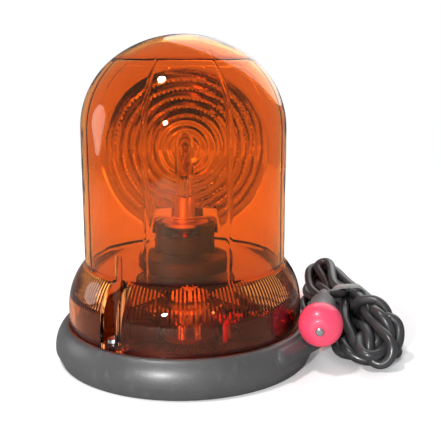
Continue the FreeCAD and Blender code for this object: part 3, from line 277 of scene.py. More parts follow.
def metal(name, base, rough, stain=None):
    """Metal with fine marks, patchy gloss and, where given, a stain."""
    look = Finish(name, metallic=1.0)
    marks = look.noise(1400, 3, 0.6)
    patch = look.noise(140, 4)
    colour = look.mix(patch, shade(base, 0.82), shade(base, 1.08))
    if stain:
        colour = look.mix(patch.above(0.58, 0.12) * 0.7, colour, stain)
    return look.feed(base_color=colour, roughness=rough + marks * 0.10 + patch * 0.06,
                     normal=look.bump(marks, 0.00003, 0.35))


def lead_jacket():
    """Soft vinyl jacket: satin gloss with a faint drag along it."""
    base = tuple(colours().lead)
    look = Finish("vinyl jacket", specular_ior_level=0.55, coat_weight=0.25, coat_roughness=0.18)
    drift = look.noise(130, 4)
    dust = look.noise(700, 4, 0.7).above(0.66, 0.08)
    colour = look.mix(drift, shade(base, 0.75), shade(base, 1.35))
    return look.feed(base_color=look.mix(dust * 0.25, colour, shade(base, 4)),
                     roughness=0.28 + drift * 0.14, normal=look.bump(drift, 0.0004, 0.35))


# Factors of painted shade that darken the dome's skirt.
SKIRT_PAINTED_SHADE = (0.86, 0.80, 1.6)
QUARTZ = (0.97, 0.97, 0.97)


def amber_lens():
    """Clear amber acrylic that lets the lamps light what is inside, with painted shade darkening its skirt."""
    colour = tuple(colours().amber)
    look = Finish("amber acrylic", base_color=colour, transmission_weight=1.0, ior=1.49, roughness=0.015,
                  specular_ior_level=0.5)
    ripple = look.noise(38, 2)
    # Painted shade: the skirt's amber is darkened below the barrel to stand in for the dark parts seen through
    # it.
    height = look.add("ShaderNodeSeparateXYZ", None, {"Vector": look.place}, "Z")
    skirt_shade_share = 1 - height.above(0.040, 0.012)
    skirt_shaded_amber = tuple(channel * factor for channel, factor in zip(colour, SKIRT_PAINTED_SHADE))
    amber_with_skirt_shade = look.mix(skirt_shade_share, colour, skirt_shaded_amber)
    look.feed(base_color=amber_with_skirt_shade, normal=look.bump(ripple, 0.0016, 0.20))
    return see_lamps(look, colour)


def see_lamps(look, colour):
    """Lamps shine through the glass in its colour."""
    clear = look.node("ShaderNodeBsdfTransparent", None, {"Color": colour})
    path = look.node("ShaderNodeLightPath")
    choice = look.node("ShaderNodeMixShader")
    look.tree.links.new(path.outputs["Is Shadow Ray"], choice.inputs[0])
    look.tree.links.new(look.shader.outputs[0], choice.inputs[1])
    look.tree.links.new(clear.outputs[0], choice.inputs[2])
    look.tree.links.new(choice.outputs[0], look.out.inputs["Surface"])
    return look


def clear_glass():
    look = Finish("quartz glass", base_color=QUARTZ, transmission_weight=1.0, ior=1.46, roughness=0.01)
    return see_lamps(look, QUARTZ)


def mirror_metal():
    """Vacuum metal on moulded plastic: a clear mirror with faint haze."""
    look = Finish("metallised mirror", metallic=1.0)
    haze = look.noise(160, 4)
    orange_peel = look.noise(300, 2)
    return look.feed(base_color=look.mix(haze, (0.78, 0.78, 0.79), (0.90, 0.90, 0.90)),
                     roughness=0.03 + haze * 0.04, normal=look.bump(orange_peel, 0.00012, 0.18))


def tie_strip():
    """Paper-covered wire: fibres along it and crushed creases across."""
    base = tuple(colours().tie)
    look = Finish("paper tie", sheen_weight=0.2)
    fibre = look.noise(1500, 4, 0.7, stretch=(0.35, 1, 1))
    crease = look.noise(420, 3).above(0.55, 0.10)
    return look.feed(base_color=look.mix(fibre, shade(base, 0.7), shade(base, 1.45)),
                     roughness=0.55 + fibre * 0.2,
                     normal=look.bump(crease, 0.0004, 0.6, look.bump(fibre, 0.0002, 0.5)))


def nose_plastic():
    """Bright red-pink moulded plastic with a soft glow under its gloss."""
    base = tuple(colours().nose)
    look = Finish("red nylon", subsurface_weight=0.25, subsurface_scale=0.002, coat_weight=0.3,
                  coat_roughness=0.12)
    drift = look.noise(150, 3)
    fine = look.noise(1800, 2)
    return look.feed(base_color=look.mix(drift, shade(base, 0.88), shade(base, 1.12)),
                     roughness=0.30 + drift * 0.10, normal=look.bump(fine, 0.00008, 0.4))


def ferrite():
    return plastic("sintered ferrite", (0.045, 0.045, 0.05), 0.72, 900.0, 0.0003)


FINISHES = {
    "rubber": rubber,
    "amber_lens": amber_lens,
    "black_plastic": lambda: plastic("black nylon", (0.016, 0.016, 0.018), 0.38, specular_ior_level=0.25),
    "gear_plastic": lambda: plastic("black acetal", (0.022, 0.022, 0.024), 0.30, specular_ior_level=0.3),
    "cream_plastic": lambda: plastic("natural nylon", (0.62, 0.57, 0.45), 0.35, specular_ior_level=0.45),
    "zinc_steel": lambda: metal("passivated zinc", (0.66, 0.60, 0.46), 0.26, stain=(0.55, 0.46, 0.36)),
    "bright_steel": lambda: metal("bright plate", (0.80, 0.80, 0.81), 0.12),
    "ferrite": ferrite,
    "brass": lambda: metal("stamped brass", (0.80, 0.58, 0.24), 0.22, stain=(0.55, 0.38, 0.16)),
    "mirror_metal": mirror_metal,
    "clear_glass": clear_glass,
    "filament_metal": lambda: metal("drawn tungsten", (0.42, 0.40, 0.38), 0.35),
    "wire_insulation": lambda: plastic("red insulation", (0.52, 0.03, 0.03), 0.32, 900.0, 0.0001,
                                       coat_weight=0.3),
    "cord_jacket": lead_jacket,
    "tie_strip": tie_strip,
    "plug_grey": lambda: plastic("grey plug shell", tuple(colours().grip), 0.33, coat_weight=0.15),
    "plug_red": nose_plastic,
}
made_finishes = {}


def finish(slot):
    """The material of a slot, made once."""
    if slot not in made_finishes:
        made_finishes[slot] = FINISHES[slot]().material
    return made_finishes[slot]


SLOTS = {item["node"]: item["material_slot"] for item in frame["record"]["subparts"]}
BODIES = {node: body for body, nodes in frame["record"]["behaviour"]["bodies"].items() for node in nodes}


# ---- building pieces ----

def piece(name, form, slot, body="base", stands_for=(), crease=35.0):
    """Makes a piece of a bmesh or a curve, and gives it its body, slot and finish."""
    if isinstance(form, bmesh.types.BMesh):
        data = bpy.data.meshes.new(name)
        form.to_mesh(data)
        form.free()
        data.shade_smooth()
        data.set_sharp_from_angle(angle=math.radians(crease))
    else:
        data = form
    made = bpy.data.objects.new(name, data)
    bpy.context.scene.collection.objects.link(made)
    made.data.materials.append(finish(slot))
    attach(made, body)
    if stands_for:
        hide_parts(*stands_for)
    return made


def spun(profile, steps, closed=True):
    """A bmesh turned about Z from points (radius, height) that run from foot to top."""
    form = bmesh.new()
    corners = [form.verts.new((radius, 0, height)) for radius, height in profile]
    for a, b in zip(corners, corners[1:]):
        form.edges.new((a, b))
    if closed:
        form.edges.new((corners[-1], corners[0]))
    bmesh.ops.spin(form, geom=form.verts[:] + form.edges[:], cent=(0, 0, 0), axis=(0, 0, 1), dvec=(0, 0, 0),
                   angle=math.tau, steps=steps, use_merge=True)
    bmesh.ops.remove_doubles(form, verts=form.verts[:], dist=1e-7)
    bmesh.ops.recalc_face_normals(form, faces=form.faces[:])
    return form


def on_arc(centre, radius, angle):
    """The point (radius, height) of a profile at an angle in radians round a centre."""
    return (centre[0] + radius * math.cos(angle), centre[1] + radius * math.sin(angle))


def arc(centre, radius, start, end, steps):
    """Points on an arc of a profile, angles in radians."""
    return [on_arc(centre, radius, start + (end - start) * i / steps) for i in range(steps + 1)]


def loose(form, name="tool"):
    """A bare object that only cuts or joins."""
    data = bpy.data.meshes.new(name)
    form.to_mesh(data)
    form.free()
    made = bpy.data.objects.new(name, data)
    bpy.context.scene.collection.objects.link(made)
    return made


def combined(form, *steps):
    """A bmesh after boolean steps, each an operation and a tool's bmesh."""
    base = loose(form, "blank")
    tools = []
    for operation, tool in steps:
        cutter = loose(tool)
        tools.append(cutter)
        change = base.modifiers.new(operation, "BOOLEAN")
        change.operation, change.object, change.solver = operation, cutter, "EXACT"
    depsgraph = bpy.context.evaluated_depsgraph_get()
    result = bmesh.new()
    result.from_object(base, depsgraph)
    for item in [base, *tools]:
        data = item.data
        bpy.data.objects.remove(item)
        bpy.data.meshes.remove(data)
    return result


def rod(radius, bottom, top, x=0.0, y=0.0, segments=48):
    form = bmesh.new()
    bmesh.ops.create_cone(form, cap_ends=True, segments=segments, radius1=radius, radius2=radius,
                          depth=top - bottom, matrix=Matrix.Translation((x, y, (top + bottom) / 2)))
    return form


def block(size, centre, turn=0.0):
    form = bmesh.new()
    matrix = Matrix.Translation(centre) @ Matrix.Rotation(turn, 4, "Z") @ Matrix.Diagonal((*size, 1))
    bmesh.ops.create_cube(form, size=1, matrix=matrix)
    return form


def welded(node):
    """A copy of a CAD node's surface with its corners joined, ready for smooth shading."""
    form = bmesh.new()
    form.from_mesh(NODES[node].data)
    bmesh.ops.remove_doubles(form, verts=form.verts[:], dist=2e-7)
    return form


def absorb(form, other):
    """Moves another bmesh's faces into form."""
    extra = bpy.data.meshes.new("extra")
    other.to_mesh(extra)
    other.free()
    form.from_mesh(extra)
    bpy.data.meshes.remove(extra)


def smoothed(name, node, crease=32.0):
    """A smooth piece over a CAD node whose shape is right."""
    return piece(name, welded(node), SLOTS[node], BODIES[node], [node], crease)


def thread(name, points, radius, slot, body="base", stands_for=(), resolution=6, steps=8):
    """A round wire or cord on one smooth line through its control points."""
    data = bpy.data.curves.new(name, "CURVE")
    data.dimensions = "3D"
    data.bevel_depth = radius
    data.bevel_resolution = resolution
    data.resolution_u = steps
    data.use_fill_caps = True
    line = data.splines.new("NURBS")
    line.points.add(len(points) - 1)
    for spot, point in zip(line.points, points):
        spot.co = (*point, 1)
    line.order_u = 3
    line.use_endpoint_u = True
    return piece(name, data, slot, body, stands_for)


# ---- dome ----

SHOULDER_STEPS, CORNER_STEPS, CROWN_STEPS = 14, 16, 12
# The shoulder's last point follows the skirt's three.
SHOULDER_END = SHOULDER_STEPS + 2
RIDGE_HALF = 0.5 * MM


def dome_profile(inset):
    """The dome's meridian from its foot to its top, moved inwards by inset."""
    sizes = settings().dome
    foot, top = (corner.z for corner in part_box("dome_lens"))
    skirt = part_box("dome_lens")[1].x - inset
    shoulder = sizes.shoulder - inset
    barrel = sizes.barrel - inset
    corner = sizes.corner - inset
    hub = skirt - shoulder
    rise = math.acos((barrel - hub) / shoulder)
    points = [(skirt, foot), (skirt, sizes.flute_foot), (skirt, sizes.skirt_top)]
    points += arc((hub, sizes.skirt_top), shoulder, 0, rise, SHOULDER_STEPS)[1:]
    points += [(barrel, sizes.spring - share * (sizes.spring - points[-1][1]))
               for share in (0.8, 0.6, 0.4, 0.2, 0)]
    middle = (sizes.barrel - sizes.corner, sizes.spring)
    drop = top - sizes.corner
    crown = ((drop + sizes.spring) - middle[0] ** 2 / (drop - sizes.spring)) / 2
    big = top - crown
    lean = math.atan2(middle[1] - crown, middle[0])
    points += arc(middle, corner, 0, lean, CORNER_STEPS)[1:]
    if inset:
        # A ridge runs round the inside where the corner meets the crown.
        ridge = points.pop()
        points.append(on_arc(middle, corner, lean - RIDGE_HALF / corner))
        points.append(on_arc(middle, corner - sizes.rib, lean))
        points.append((ridge[0] - RIDGE_HALF * math.sin(lean), ridge[1] + RIDGE_HALF * math.cos(lean)))
    points += arc((0, crown), big - inset, lean, math.pi / 2, CROWN_STEPS)[1:]
    points[-1] = (0, points[-1][1])
    return points


def moulded_inside(form, segments):
    """Moves the inner surface: flutes in the skirt and upright ribs as far as the crown."""
    sizes = settings().dome
    step = math.tau / segments
    rib_every = segments // max(1, sizes.ribs)
    first_rib = round(math.radians(sizes.rib_azimuth) / step)
    crown = sizes.spring + 0.79 * sizes.corner
    shoulder_end = dome_profile(sizes.wall)[SHOULDER_END][1]
    for vert in form.verts:
        radius = math.hypot(vert.co.x, vert.co.y)
        if radius < 1e-4:
            continue
        index = round(math.atan2(vert.co.y, vert.co.x) / step) % segments
        inward = 0.0
        if sizes.flute_foot - 1e-5 < vert.co.z < shoulder_end - 1e-4:
            share = min(1.0, max(0.0, (vert.co.z - sizes.skirt_top) / (0.5 * sizes.shoulder)))
            inward = sizes.flute * (0.35 + 0.65 * share) * (1 if index % 2 else 0.1)
        elif vert.co.z >= shoulder_end - 1e-4:
            inward = sizes.rib if (index - first_rib) % rib_every == 0 and vert.co.z < crown else 0.0
        if inward:
            way = Vector((vert.co.x, vert.co.y, 0)) / radius
            if vert.co.z > sizes.spring:
                way = (vert.co - Vector((0, 0, sizes.spring - 0.01))).normalized()
            vert.co -= way * inward


def screw_places():
    """Middles of the lens screws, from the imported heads."""
    spots = []
    heads = welded("lens_screws")
    for island in split_islands(heads):
        middle = sum((vert.co for vert in island), Vector()) / len(island)
        spots.append((middle.x, middle.y))
    heads.free()
    return spots


def split_islands(form):
    """The vertices of each separate part of a bmesh."""
    seen, islands = set(), []
    for start in form.verts:
        if start in seen:
            continue
        island, todo = [], [start]
        seen.add(start)
        while todo:
            vert = todo.pop()
            island.append(vert)
            for edge in vert.link_edges:
                other = edge.other_vert(vert)
                if other not in seen:
                    seen.add(other)
                    todo.append(other)
        islands.append(island)
    return islands


class BEACON_OT_dome(bpy.types.Operator):
    """Spins the amber dome, flutes its skirt and cuts its screw pockets"""
    bl_idname = "beacon.dome"
    bl_label = "Dome"

    def execute(self, context):
        sizes = settings().dome
        outer = spun(dome_profile(0), sizes.segments, closed=False)
        inner = spun(dome_profile(sizes.wall), sizes.segments, closed=False)
        moulded_inside(inner, sizes.segments)
        bmesh.ops.reverse_faces(inner, faces=inner.faces[:])
        absorb(outer, inner)
        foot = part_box("dome_lens")[0].z
        rim = [edge for edge in outer.edges if edge.is_boundary and edge.verts[0].co.z < foot + 1e-5]
        bmesh.ops.bridge_loops(outer, edges=rim)
        bmesh.ops.recalc_face_normals(outer, faces=outer.faces[:])
        steps = []
        top = sizes.skirt_top + sizes.shoulder
        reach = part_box("dome_lens")[1].x
        side = dome_profile(0)[:SHOULDER_END + 1]
        for x, y in screw_places():
            sleeve = rod(sizes.pocket + sizes.pocket_wall, foot + sizes.skin, top, x, y)
            envelope = spun([(0, foot)] + [(max(0, radius - sizes.skin), height) for radius, height in side]
                            + [(0, side[-1][1])], sizes.segments // 2)
            steps.append(("UNION", combined(sleeve, ("INTERSECT", envelope))))
        for x, y in screw_places():
            turn = math.atan2(y, x)
            out = Vector((math.cos(turn), math.sin(turn), 0))
            steps.append(("DIFFERENCE", rod(sizes.pocket, sizes.pocket_floor, top, x, y)))
            slot_middle = Vector((x, y, (sizes.pocket_floor + top) / 2)) + out * reach / 2
            steps.append(("DIFFERENCE", block((reach, sizes.pocket * 2, top - sizes.pocket_floor),
                                              slot_middle, turn)))
            steps.append(("DIFFERENCE", rod(sizes.hole, foot - MM, sizes.pocket_floor + MM, x, y, 24)))
        whole = combined(outer, *steps)
        piece("dome", whole, "amber_lens", "base", ["dome_lens"], crease=24)
        return {"FINISHED"}


# ---- foot and inner pieces ----

class BEACON_OT_foot(bpy.types.Operator):
    """Gives the rubber foot and its magnet their finish"""
    bl_idname = "beacon.foot"
    bl_label = "Foot"

    def execute(self, context):
        smoothed("foot", "rubber_boot", crease=30)
        smoothed("magnet_shell", "magnet_cup")
        return {"FINISHED"}


class BEACON_OT_reflector(bpy.types.Operator):
    """Gives the turning reflector its mirror and its bracket"""
    bl_idname = "beacon.reflector"
    bl_label = "Reflector"

    def execute(self, context):
        smoothed("mirror_dish", "reflector_dish", crease=20)
        smoothed("turntable", "rotor_table")
        smoothed("dish_bracket", "reflector_bracket")
        return {"FINISHED"}


class BEACON_OT_lamp(bpy.types.Operator):
    """Builds the bulb's glass, its coiled filament and the lamp holder"""
    bl_idname = "beacon.lamp"
    bl_label = "Lamp"

    def execute(self, context):
        smoothed("bulb_envelope", "bulb_glass")
        smoothed("bulb_cap", "bulb_base")
        smoothed("lamp_cup", "lamp_holder")
        smoothed("lamp_contact", "lamp_ring")
        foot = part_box("bulb_filament")[0].z
        middle = 0.095
        turns, per_turn, tall, wide = 9, 8, 0.006, 0.00075
        coil = []
        for index in range(turns * per_turn + 1):
            angle = math.tau * index / per_turn
            coil.append((wide * math.cos(angle), wide * math.sin(angle),
                         middle - tall / 2 + tall * index / (turns * per_turn)))
        near_leg = [(0.0013, 0, foot), (0.0013, 0, foot + 0.004), (0.0015, 0, middle - tall)]
        far_leg = [(-0.0010, 0, middle + tall * 0.8), (-0.0021, 0, middle + tall * 0.6), (-0.0022, 0, middle),
                   (-0.0016, 0, foot + 0.004), (-0.0013, 0, foot)]
        thread("filament", near_leg + coil + far_leg, 0.00022, "filament_metal", "base", ["bulb_filament"], 3)
        return {"FINISHED"}


class BEACON_OT_drive(bpy.types.Operator):
    """Smooths the motor, its gears, the deck and the lamp post"""
    bl_idname = "beacon.drive"
    bl_label = "Drive"

    def execute(self, context):
        smoothed("motor_shell", "motor_can")
        smoothed("motor_grip", "motor_sleeve")
        smoothed("deck", "base_plate")
        smoothed("large_gear", "drive_gear", crease=25)
        smoothed("small_gear", "pinion", crease=25)
        smoothed("post", "lamp_post")
        return {"FINISHED"}


class BEACON_OT_screws(bpy.types.Operator):
    """Turns the plated screws that hold the dome, with crossed slots"""
    bl_idname = "beacon.screws"
    bl_label = "Lens screws"

    def execute(self, context):
        seat = settings().dome.pocket_floor
        tip, top = (corner.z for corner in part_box("lens_screws"))
        head, shank, first_slot = 3.6 * MM, 1.9 * MM, 0.4
        rise = top - seat
        whole = bmesh.new()
        for x, y in screw_places():
            profile = [(0, tip), (shank, tip), (shank, seat), (head - 0.2 * MM, seat),
                       (head, seat + 0.3 * MM)]
            profile += [(head * math.cos(a), seat + rise * 0.35 + rise * 0.65 * math.sin(a))
                        for a in (math.radians(15 * i) for i in range(6))]
            profile += [(0, top)]
            crossed = [("DIFFERENCE", block((4.2 * MM, 0.9 * MM, 1.6 * MM), (0, 0, top), turn))
                       for turn in (first_slot, first_slot + math.pi / 2)]
            form = combined(spun(profile, 40), *crossed)
            bmesh.ops.translate(form, verts=form.verts[:], vec=(x, y, 0))
            absorb(whole, form)
        piece("dome_screws", whole, "bright_steel", "base", ["lens_screws"], crease=28)
        return {"FINISHED"}


class BEACON_OT_wires(bpy.types.Operator):
    """Lays the wires inside the beacon and the bulb's sprung clip"""
    bl_idname = "beacon.wires"
    bl_label = "Wires"

    def execute(self, context):
        smoothed("inner_lead", "cord_inner", crease=60)
        smoothed("lamp_wire", "lamp_lead", crease=60)
        smoothed("motor_wires", "motor_leads", crease=60)
        smoothed("sprung_clip", "bulb_clip", crease=60)
        return {"FINISHED"}


# ---- lead and plug ----

# The lead leaves the foot's tunnel, drops to the floor beside the foot and runs to the hank.
LEAD_ROUTE = [
    (0.066144, -0.013607, 0.011), (0.071685, -0.006515, 0.011), (0.0748, 0.004, 0.0074),
    (0.0756, 0.016, 0.004), (0.0732, 0.029, 0.0026), (0.0696, 0.043, 0.0025), (0.0664, 0.055, 0.0025),
    (0.0668, 0.066, 0.0025), (0.0715, 0.074, 0.0025),
]
# It leaves the hank's waist for the plug.
TAIL_ROUTE = [
    (0.0798, 0.039, 0.020), (0.0762, 0.032, 0.022), (0.07373, 0.02358, 0.0235), (0.07237, 0.0157, 0.0235),
]
BACK_LOBE, FRONT_LOBE = Vector((0.080, 0.080, 0)), Vector((0.095, -0.018, 0))
ROWS = [0.0035, 0.0085, 0.0135, 0.0185, 0.0234]
SIDE = 0.0053
# Where each turn passes the waist, right and left: (column, row).
RIGHT_PLACES = [(1, 0), (1, 1), (1, 2), (1, 3), (1, 4), (0, 3), (0, 4)]
LEFT_PLACES = [(-1, 0), (-1, 1), (0, 0), (-1, 2), (0, 1), (-1, 3), (0, 2)]
# Each turn's radius and height at the back, in millimetres.
BACK_ARCS = [
    (11.3, 2.6), (11.3, 7.7), (11.3, 12.8), (11.3, 17.9), (11.0, 22.9), (6.6, 8.5), (6.6, 15.5), (8.5, 26.0),
]
# The front loops stand on the floor and lean back. Each turn's middle, half width and half height in
# millimetres, and its lean from upright and its turn about the vertical in degrees.
FRONT_LOOPS = [
    (94.5, -9.0, 4.5, 14.5, 12.5, 78, -10), (90.0, -12.0, 15.0, 13.5, 15.5, 42, 6),
    (91.5, -17.0, 15.5, 13.8, 16.5, 38, -4), (88.5, -13.0, 11.5, 9.0, 11.0, 50, 10),
    (90.5, -21.5, 14.5, 12.0, 14.0, 34, 3), (89.0, -18.0, 12.0, 8.5, 10.0, 40, -12),
    (92.5, -24.0, 13.0, 10.5, 12.5, 30, -14),
]


LOOP_GROWTH = 1.12 * MM
# How far along the hank a strand of the waist is led.
STATIONS = [0.022, 0.034, 0.046, 0.058, 0.066]
# The way over the waist to the tail.
LAST_TURN = [(0.012, 0.0045, 0.0285), (0.022, 0.0005, 0.0285), (0.031, -0.004, 0.0255)]


def hank_point(along, across, height):
    """A point of the hank, from the back lobe's middle towards the front lobe's."""
    way = (FRONT_LOBE - BACK_LOBE).normalized()
    aside = Vector((-way.y, way.x, 0))
    spot = BACK_LOBE + way * along + aside * across
    return (spot.x, spot.y, height)


def back_arc(index):
    """Points round the back lobe, from its left to its right."""
    radius, height = (value * MM for value in BACK_ARCS[index])
    return [hank_point(-radius * math.cos(angle), radius * math.sin(angle), height)
            for angle in (math.radians(15 * step) for step in range(-6, 7))]


def front_loop(index):
    """Points over the top of a front loop, down its right, along the floor and up its left."""
    x, y, z, wide, tall, lean, turn = FRONT_LOOPS[index]
    place = (Matrix.Translation(Vector((x, y, z)) * MM) @ Matrix.Rotation(math.radians(turn), 4, "Z")
             @ Matrix.Rotation(math.radians(-lean), 4, "X"))
    return [tuple(place @ (Vector((wide * math.cos(angle), 0, tall * math.sin(angle))) * LOOP_GROWTH))
            for angle in (math.radians(100 - 15 * step) for step in range(19))]


def waist(column, row, way):
    """Points along the waist, towards the front for way 1."""
    return [hank_point(along, column * SIDE, ROWS[row]) for along in STATIONS[::way]]


def hank_points():
    """The wound part of the lead: a turn is a back arc, the right of the waist, a front loop and the left."""
    sizes = settings().lead
    chance = random.Random(7)
    runs = []
    for index in range(sizes.turns):
        runs += [back_arc(index), waist(*RIGHT_PLACES[index], 1), front_loop(index),
                 waist(*LEFT_PLACES[index], -1)]
    runs += [back_arc(-1), [hank_point(*place) for place in LAST_TURN]]
    points = []
    for run in runs:
        stray = Vector([chance.uniform(-1, 1) * sizes.unrest for axis in range(3)])
        points += [tuple(Vector(point) + stray) for point in run]
    return points


def evenly(points, step):
    """Points that far apart on the line through points."""
    points = np.array(points)
    along = np.concatenate([[0], np.cumsum(np.linalg.norm(np.diff(points, axis=0), axis=1))])
    marks = np.linspace(0, along[-1], round(along[-1] / step))
    return np.column_stack([np.interp(marks, along, points[:, axis]) for axis in range(3)])


# How far apart the points are that settle, and for how many rounds.
STEP, ROUNDS = 3.2 * MM, 240
# Strands nearer than this many thicknesses are watched, and so far apart along the lead they count as two.
WATCH, APART = 2.5, 2.4
# Shares of a push, of a bend and of a stretch that one round takes away.
PUSH, BEND, STRETCH = 0.45, 0.09, 0.3
# The strands are let out a little over their laid length, sink slowly and move this far in a round at most.
LET_OUT, SINK, STRIDE = 1.05, 0.02 * MM, 1.2 * MM
# Half the tie's width along the hank, half its opening, and the heights of its opening.
TIE_HALF, TIE_SIDE, TIE_LOW, TIE_HIGH = 4 * MM, 8.2 * MM, 1 * MM, 26 * MM
# Radii that the strands keep clear of round the plug's adapter and its body.
NOSE_ROOM, GRIP_ROOM = 10.5 * MM, 6.6 * MM


def settled(points, first, last, thick):
    """Lets the strands push each other apart, straighten and come to rest; the points outside first and
    last stay where they are."""
    def straighten(times, share):
        for turn in range(times):
            points[first:last] += share * (
                points[first - 1:last - 1] + points[first + 1:last + 1] - 2 * points[first:last])

    straighten(5, 0.4)
    legs = np.linalg.norm(np.diff(points, axis=0), axis=1)[:, None]
    apart = math.ceil(APART * thick / legs.mean())
    free = np.zeros(len(points), bool)
    free[first:last] = True
    way = np.array((FRONT_LOBE - BACK_LOBE).normalized())
    aside = np.array((-way[1], way[0], 0))
    back = np.array(BACK_LOBE)
    tie_low, tie_high = (np.array(corner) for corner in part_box("cord_tie"))
    tie_along = ((tie_low + tie_high) / 2 - back) @ way
    plug_ends = np.array(TAIL_ROUTE[-1]), np.array(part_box("plug_adapter")[0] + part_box("plug_adapter")[1]) / 2
    for turn in range(ROUNDS):
        if turn % 24 == 12:
            straighten(2, 0.4)
        if turn % 12 == 0:
            distance = np.linalg.norm(points[:, None] - points[None], axis=2)
            one, other = np.nonzero(np.triu(distance < WATCH * thick, apart))
        gap = points[one] - points[other]
        distance = np.maximum(np.linalg.norm(gap, axis=1), 1e-6)
        push = np.clip(thick - distance, 0, thick)[:, None] * gap / distance[:, None] * PUSH
        move = np.zeros_like(points)
        np.add.at(move, one, push)
        np.add.at(move, other, -push)
        # Pushes are shared along the strand, so it shifts without kinks.
        for again in range(6 if turn < ROUNDS * 0.75 else 2):
            move[1:-1] += 0.33 * (move[:-2] + move[2:] - 2 * move[1:-1])
        move[2:-2] -= BEND * (
            points[:-4] + points[4:] - 4 * points[1:-3] - 4 * points[3:-1] + 6 * points[2:-2])
        leg = points[1:] - points[:-1]
        long = np.linalg.norm(leg, axis=1)[:, None]
        pull = leg * (1 - LET_OUT * legs / long) * STRETCH
        move[:-1] += pull
        move[1:] -= pull
        move[:, 2] -= SINK
        points[free] += np.clip(move[free], -STRIDE, STRIDE)
        across = (points - back) @ aside
        in_tie = free & (np.abs((points - back) @ way - tie_along) < TIE_HALF)
        limit = TIE_SIDE - thick / 2
        shift = np.clip(across, -limit, limit) - across
        points[in_tie] += shift[in_tie, None] * aside
        points[in_tie, 2] = np.clip(points[in_tie, 2], TIE_LOW + thick / 2, TIE_HIGH - thick / 2)
        points[free, 2] = np.maximum(points[free, 2], thick / 2)
        line = plug_ends[1] - plug_ends[0]
        part = np.clip((points - plug_ends[0]) @ line / (line @ line), 0, 1)
        out = points - (plug_ends[0] + part[:, None] * line)
        near = np.maximum(np.linalg.norm(out, axis=1), 1e-6)
        room = np.where(part > 0.9, NOSE_ROOM, GRIP_ROOM) + thick / 2
        blocked = free & (near < room) & (part > 0.02)
        points[blocked] += out[blocked] * (room / near - 1)[blocked, None]
    straighten(3, 0.25)
    return points


class BEACON_OT_lead(bpy.types.Operator):
    """Lays the lead from the foot through its tied hank to the plug"""
    bl_idname = "beacon.lead"
    bl_label = "Lead"

    def execute(self, context):
        sizes = settings().lead
        start, wound, end = (evenly(part, STEP) for part in (LEAD_ROUTE, hank_points(), TAIL_ROUTE))
        wound = wound[1:-1]
        line = settled(np.concatenate([start, wound, end]), len(start) - sizes.eased,
                       len(start) + len(wound) + sizes.eased, 2 * sizes.radius)
        lead = thread("lead", line.tolist(), sizes.radius, "cord_jacket", "base",
                      ["cord_lead", "cord_hank", "cord_tail"], 5, 2)
        tie = smoothed("hank_tie", "cord_tie")
        shells = [smoothed("plug_shell", "plug_body"), smoothed("plug_nose", "plug_adapter", crease=25),
                  smoothed("plug_strain_relief", "plug_relief"), smoothed("plug_pin", "plug_tip")]
        return {"FINISHED"}


# ---- finishes of the pieces that stay as packed ----

class BEACON_OT_dress(bpy.types.Operator):
    """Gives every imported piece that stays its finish"""
    bl_idname = "beacon.dress"
    bl_label = "Finishes"

    def execute(self, context):
        for node, item in NODES.items():
            item.data.materials.clear()
            item.data.materials.append(finish(SLOTS[node]))
        return {"FINISHED"}


# ---- stage ----

CAMERA_PLACE = (0.01765, -0.3555, 0.1375)
CAMERA_PITCH = 0.196
CAMERA_LENS = 59.66
# Strength of the surroundings for matt and for mirrored light.
EVEN_LIGHT, GLOSS_LIGHT = 0.45, 0.18
# Each lamp's name, place, power in watts and width.
LAMPS = [
    ("key", (-0.22, -0.25, 0.76), 2.9, 0.09), ("front", (-0.27, -0.86, 0.31), 7.0, 0.08),
    ("left window", (-0.60, 0.12, 0.17), 0.35, 0.26), ("back", (0.25, 0.55, 0.50), 2.2, 0.80),
]
LAMP_AIM = Vector((0, 0, 0.07))
FLOOR_RADIUS, FLOOR_DROP = 0.75, 0.1 * MM
# The floor glows more beyond an edge, given as its distance and its softness.
GLOW_EDGE, NEAR_GLOW, FAR_GLOW = (0.26, 0.14), (0.10, 0.10, 0.10), (0.42, 0.42, 0.42)
MIRRORED_FLOOR = 0.25


def world():
    """Even pale surroundings that show white behind the object and through glass, and dimmer in gloss."""
    scene = bpy.context.scene
    scene.world = bpy.data.worlds.new("studio")
    scene.world.use_nodes = True
    tree = scene.world.node_tree
    shown = tree.nodes["Background"]
    shown.inputs["Color"].default_value = (1, 1, 1, 1)
    lit = tree.nodes.new("ShaderNodeBackground")
    lit.inputs["Color"].default_value = (0.97, 0.98, 1, 1)
    path = tree.nodes.new("ShaderNodeLightPath")
    strength = tree.nodes.new("ShaderNodeMath")
    strength.operation = "MULTIPLY_ADD"
    strength.inputs[1].default_value, strength.inputs[2].default_value = GLOSS_LIGHT - EVEN_LIGHT, EVEN_LIGHT
    tree.links.new(path.outputs["Is Glossy Ray"], strength.inputs[0])
    tree.links.new(strength.outputs[0], lit.inputs["Strength"])
    seen = tree.nodes.new("ShaderNodeMath")
    seen.operation = "MAXIMUM"
    tree.links.new(path.outputs["Is Camera Ray"], seen.inputs[0])
    tree.links.new(path.outputs["Is Transmission Ray"], seen.inputs[1])
    choice = tree.nodes.new("ShaderNodeMixShader")
    tree.links.new(seen.outputs[0], choice.inputs[0])
    tree.links.new(lit.outputs[0], choice.inputs[1])
    tree.links.new(shown.outputs[0], choice.inputs[2])
    tree.links.new(choice.outputs[0], tree.nodes["World Output"].inputs["Surface"])


def lamp(name, place, power, size):
    data = bpy.data.lights.new(name, "AREA")
    data.energy, data.size, data.shape = power, size, "DISK"
    made = bpy.data.objects.new(name, data)
    made.location = place
    made.rotation_euler = (LAMP_AIM - Vector(place)).to_track_quat("-Z", "Y").to_euler()
    bpy.context.scene.collection.objects.link(made)


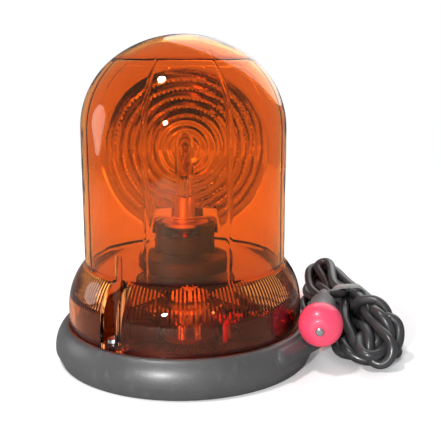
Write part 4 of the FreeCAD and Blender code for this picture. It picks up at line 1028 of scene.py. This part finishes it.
class BEACON_OT_stage(bpy.types.Operator):
    """Sets the camera, the floor, the surroundings and the lamps"""
    bl_idname = "beacon.stage"
    bl_label = "Stage"

    def execute(self, context):
        scene = bpy.context.scene
        scene.view_settings.view_transform = "Standard"
        data = bpy.data.cameras.new("view")
        data.lens = CAMERA_LENS
        camera = bpy.data.objects.new("view", data)
        camera.location = CAMERA_PLACE
        camera.rotation_euler = Euler((math.pi / 2 - CAMERA_PITCH, 0, 0))
        scene.collection.objects.link(camera)
        scene.camera = camera
        world()
        for light in LAMPS:
            lamp(*light)
        form = bmesh.new()
        bmesh.ops.create_circle(form, cap_ends=True, segments=96, radius=FLOOR_RADIUS)
        bmesh.ops.translate(form, verts=form.verts[:], vec=(0, 0, -FLOOR_DROP))
        floor = loose(form, "floor")
        look = Finish("pale floor", roughness=0.7, specular_ior_level=0.2)
        base = tuple(colours().floor)
        # Mirrored rays meet a darker floor, so the white underfoot does not veil the dome.
        mirrored = look.add("ShaderNodeLightPath", None, {}, "Is Glossy Ray") * (
            1 - look.add("ShaderNodeLightPath", None, {}, "Is Transmission Ray"))
        away = look.add("ShaderNodeVectorMath", {"operation": "LENGTH"}, {0: look.place}, "Value")
        glow = look.mix(away.above(*GLOW_EDGE), NEAR_GLOW, FAR_GLOW)
        look.feed(base_color=look.mix(mirrored, base, shade(base, MIRRORED_FLOOR)), emission_strength=1.0,
                  emission_color=look.mix(mirrored, glow, (0, 0, 0)))
        floor.data.materials.append(look.material)
        return {"FINISHED"}


OPERATORS = [
    BEACON_OT_stage, BEACON_OT_dress, BEACON_OT_lead, BEACON_OT_foot, BEACON_OT_dome, BEACON_OT_reflector,
    BEACON_OT_lamp, BEACON_OT_drive, BEACON_OT_screws, BEACON_OT_wires,
]


class BEACON_PT_panel(bpy.types.Panel):
    """Lists the beacon's building steps"""
    bl_idname = "BEACON_PT_panel"
    bl_label = "Rotating beacon"
    bl_space_type = "VIEW_3D"
    bl_region_type = "UI"
    bl_category = "Beacon"

    def draw(self, context):
        for operator in OPERATORS:
            self.layout.operator(operator.bl_idname)


CLASSES = [DomeSizes, LeadSizes, Colours, Beacon, *OPERATORS, BEACON_PT_panel]


def register():
    for item in CLASSES:
        bpy.utils.register_class(item)
    bpy.types.Scene.beacon = PointerProperty(type=Beacon)


def unregister():
    del bpy.types.Scene.beacon
    for item in reversed(CLASSES):
        bpy.utils.unregister_class(item)


def main():
    """Builds the whole scene."""
    register()
    for operator in OPERATORS:
        group, name = operator.bl_idname.split(".")
        getattr(getattr(bpy.ops, group), name)()


if __name__ == "__main__":
    main()
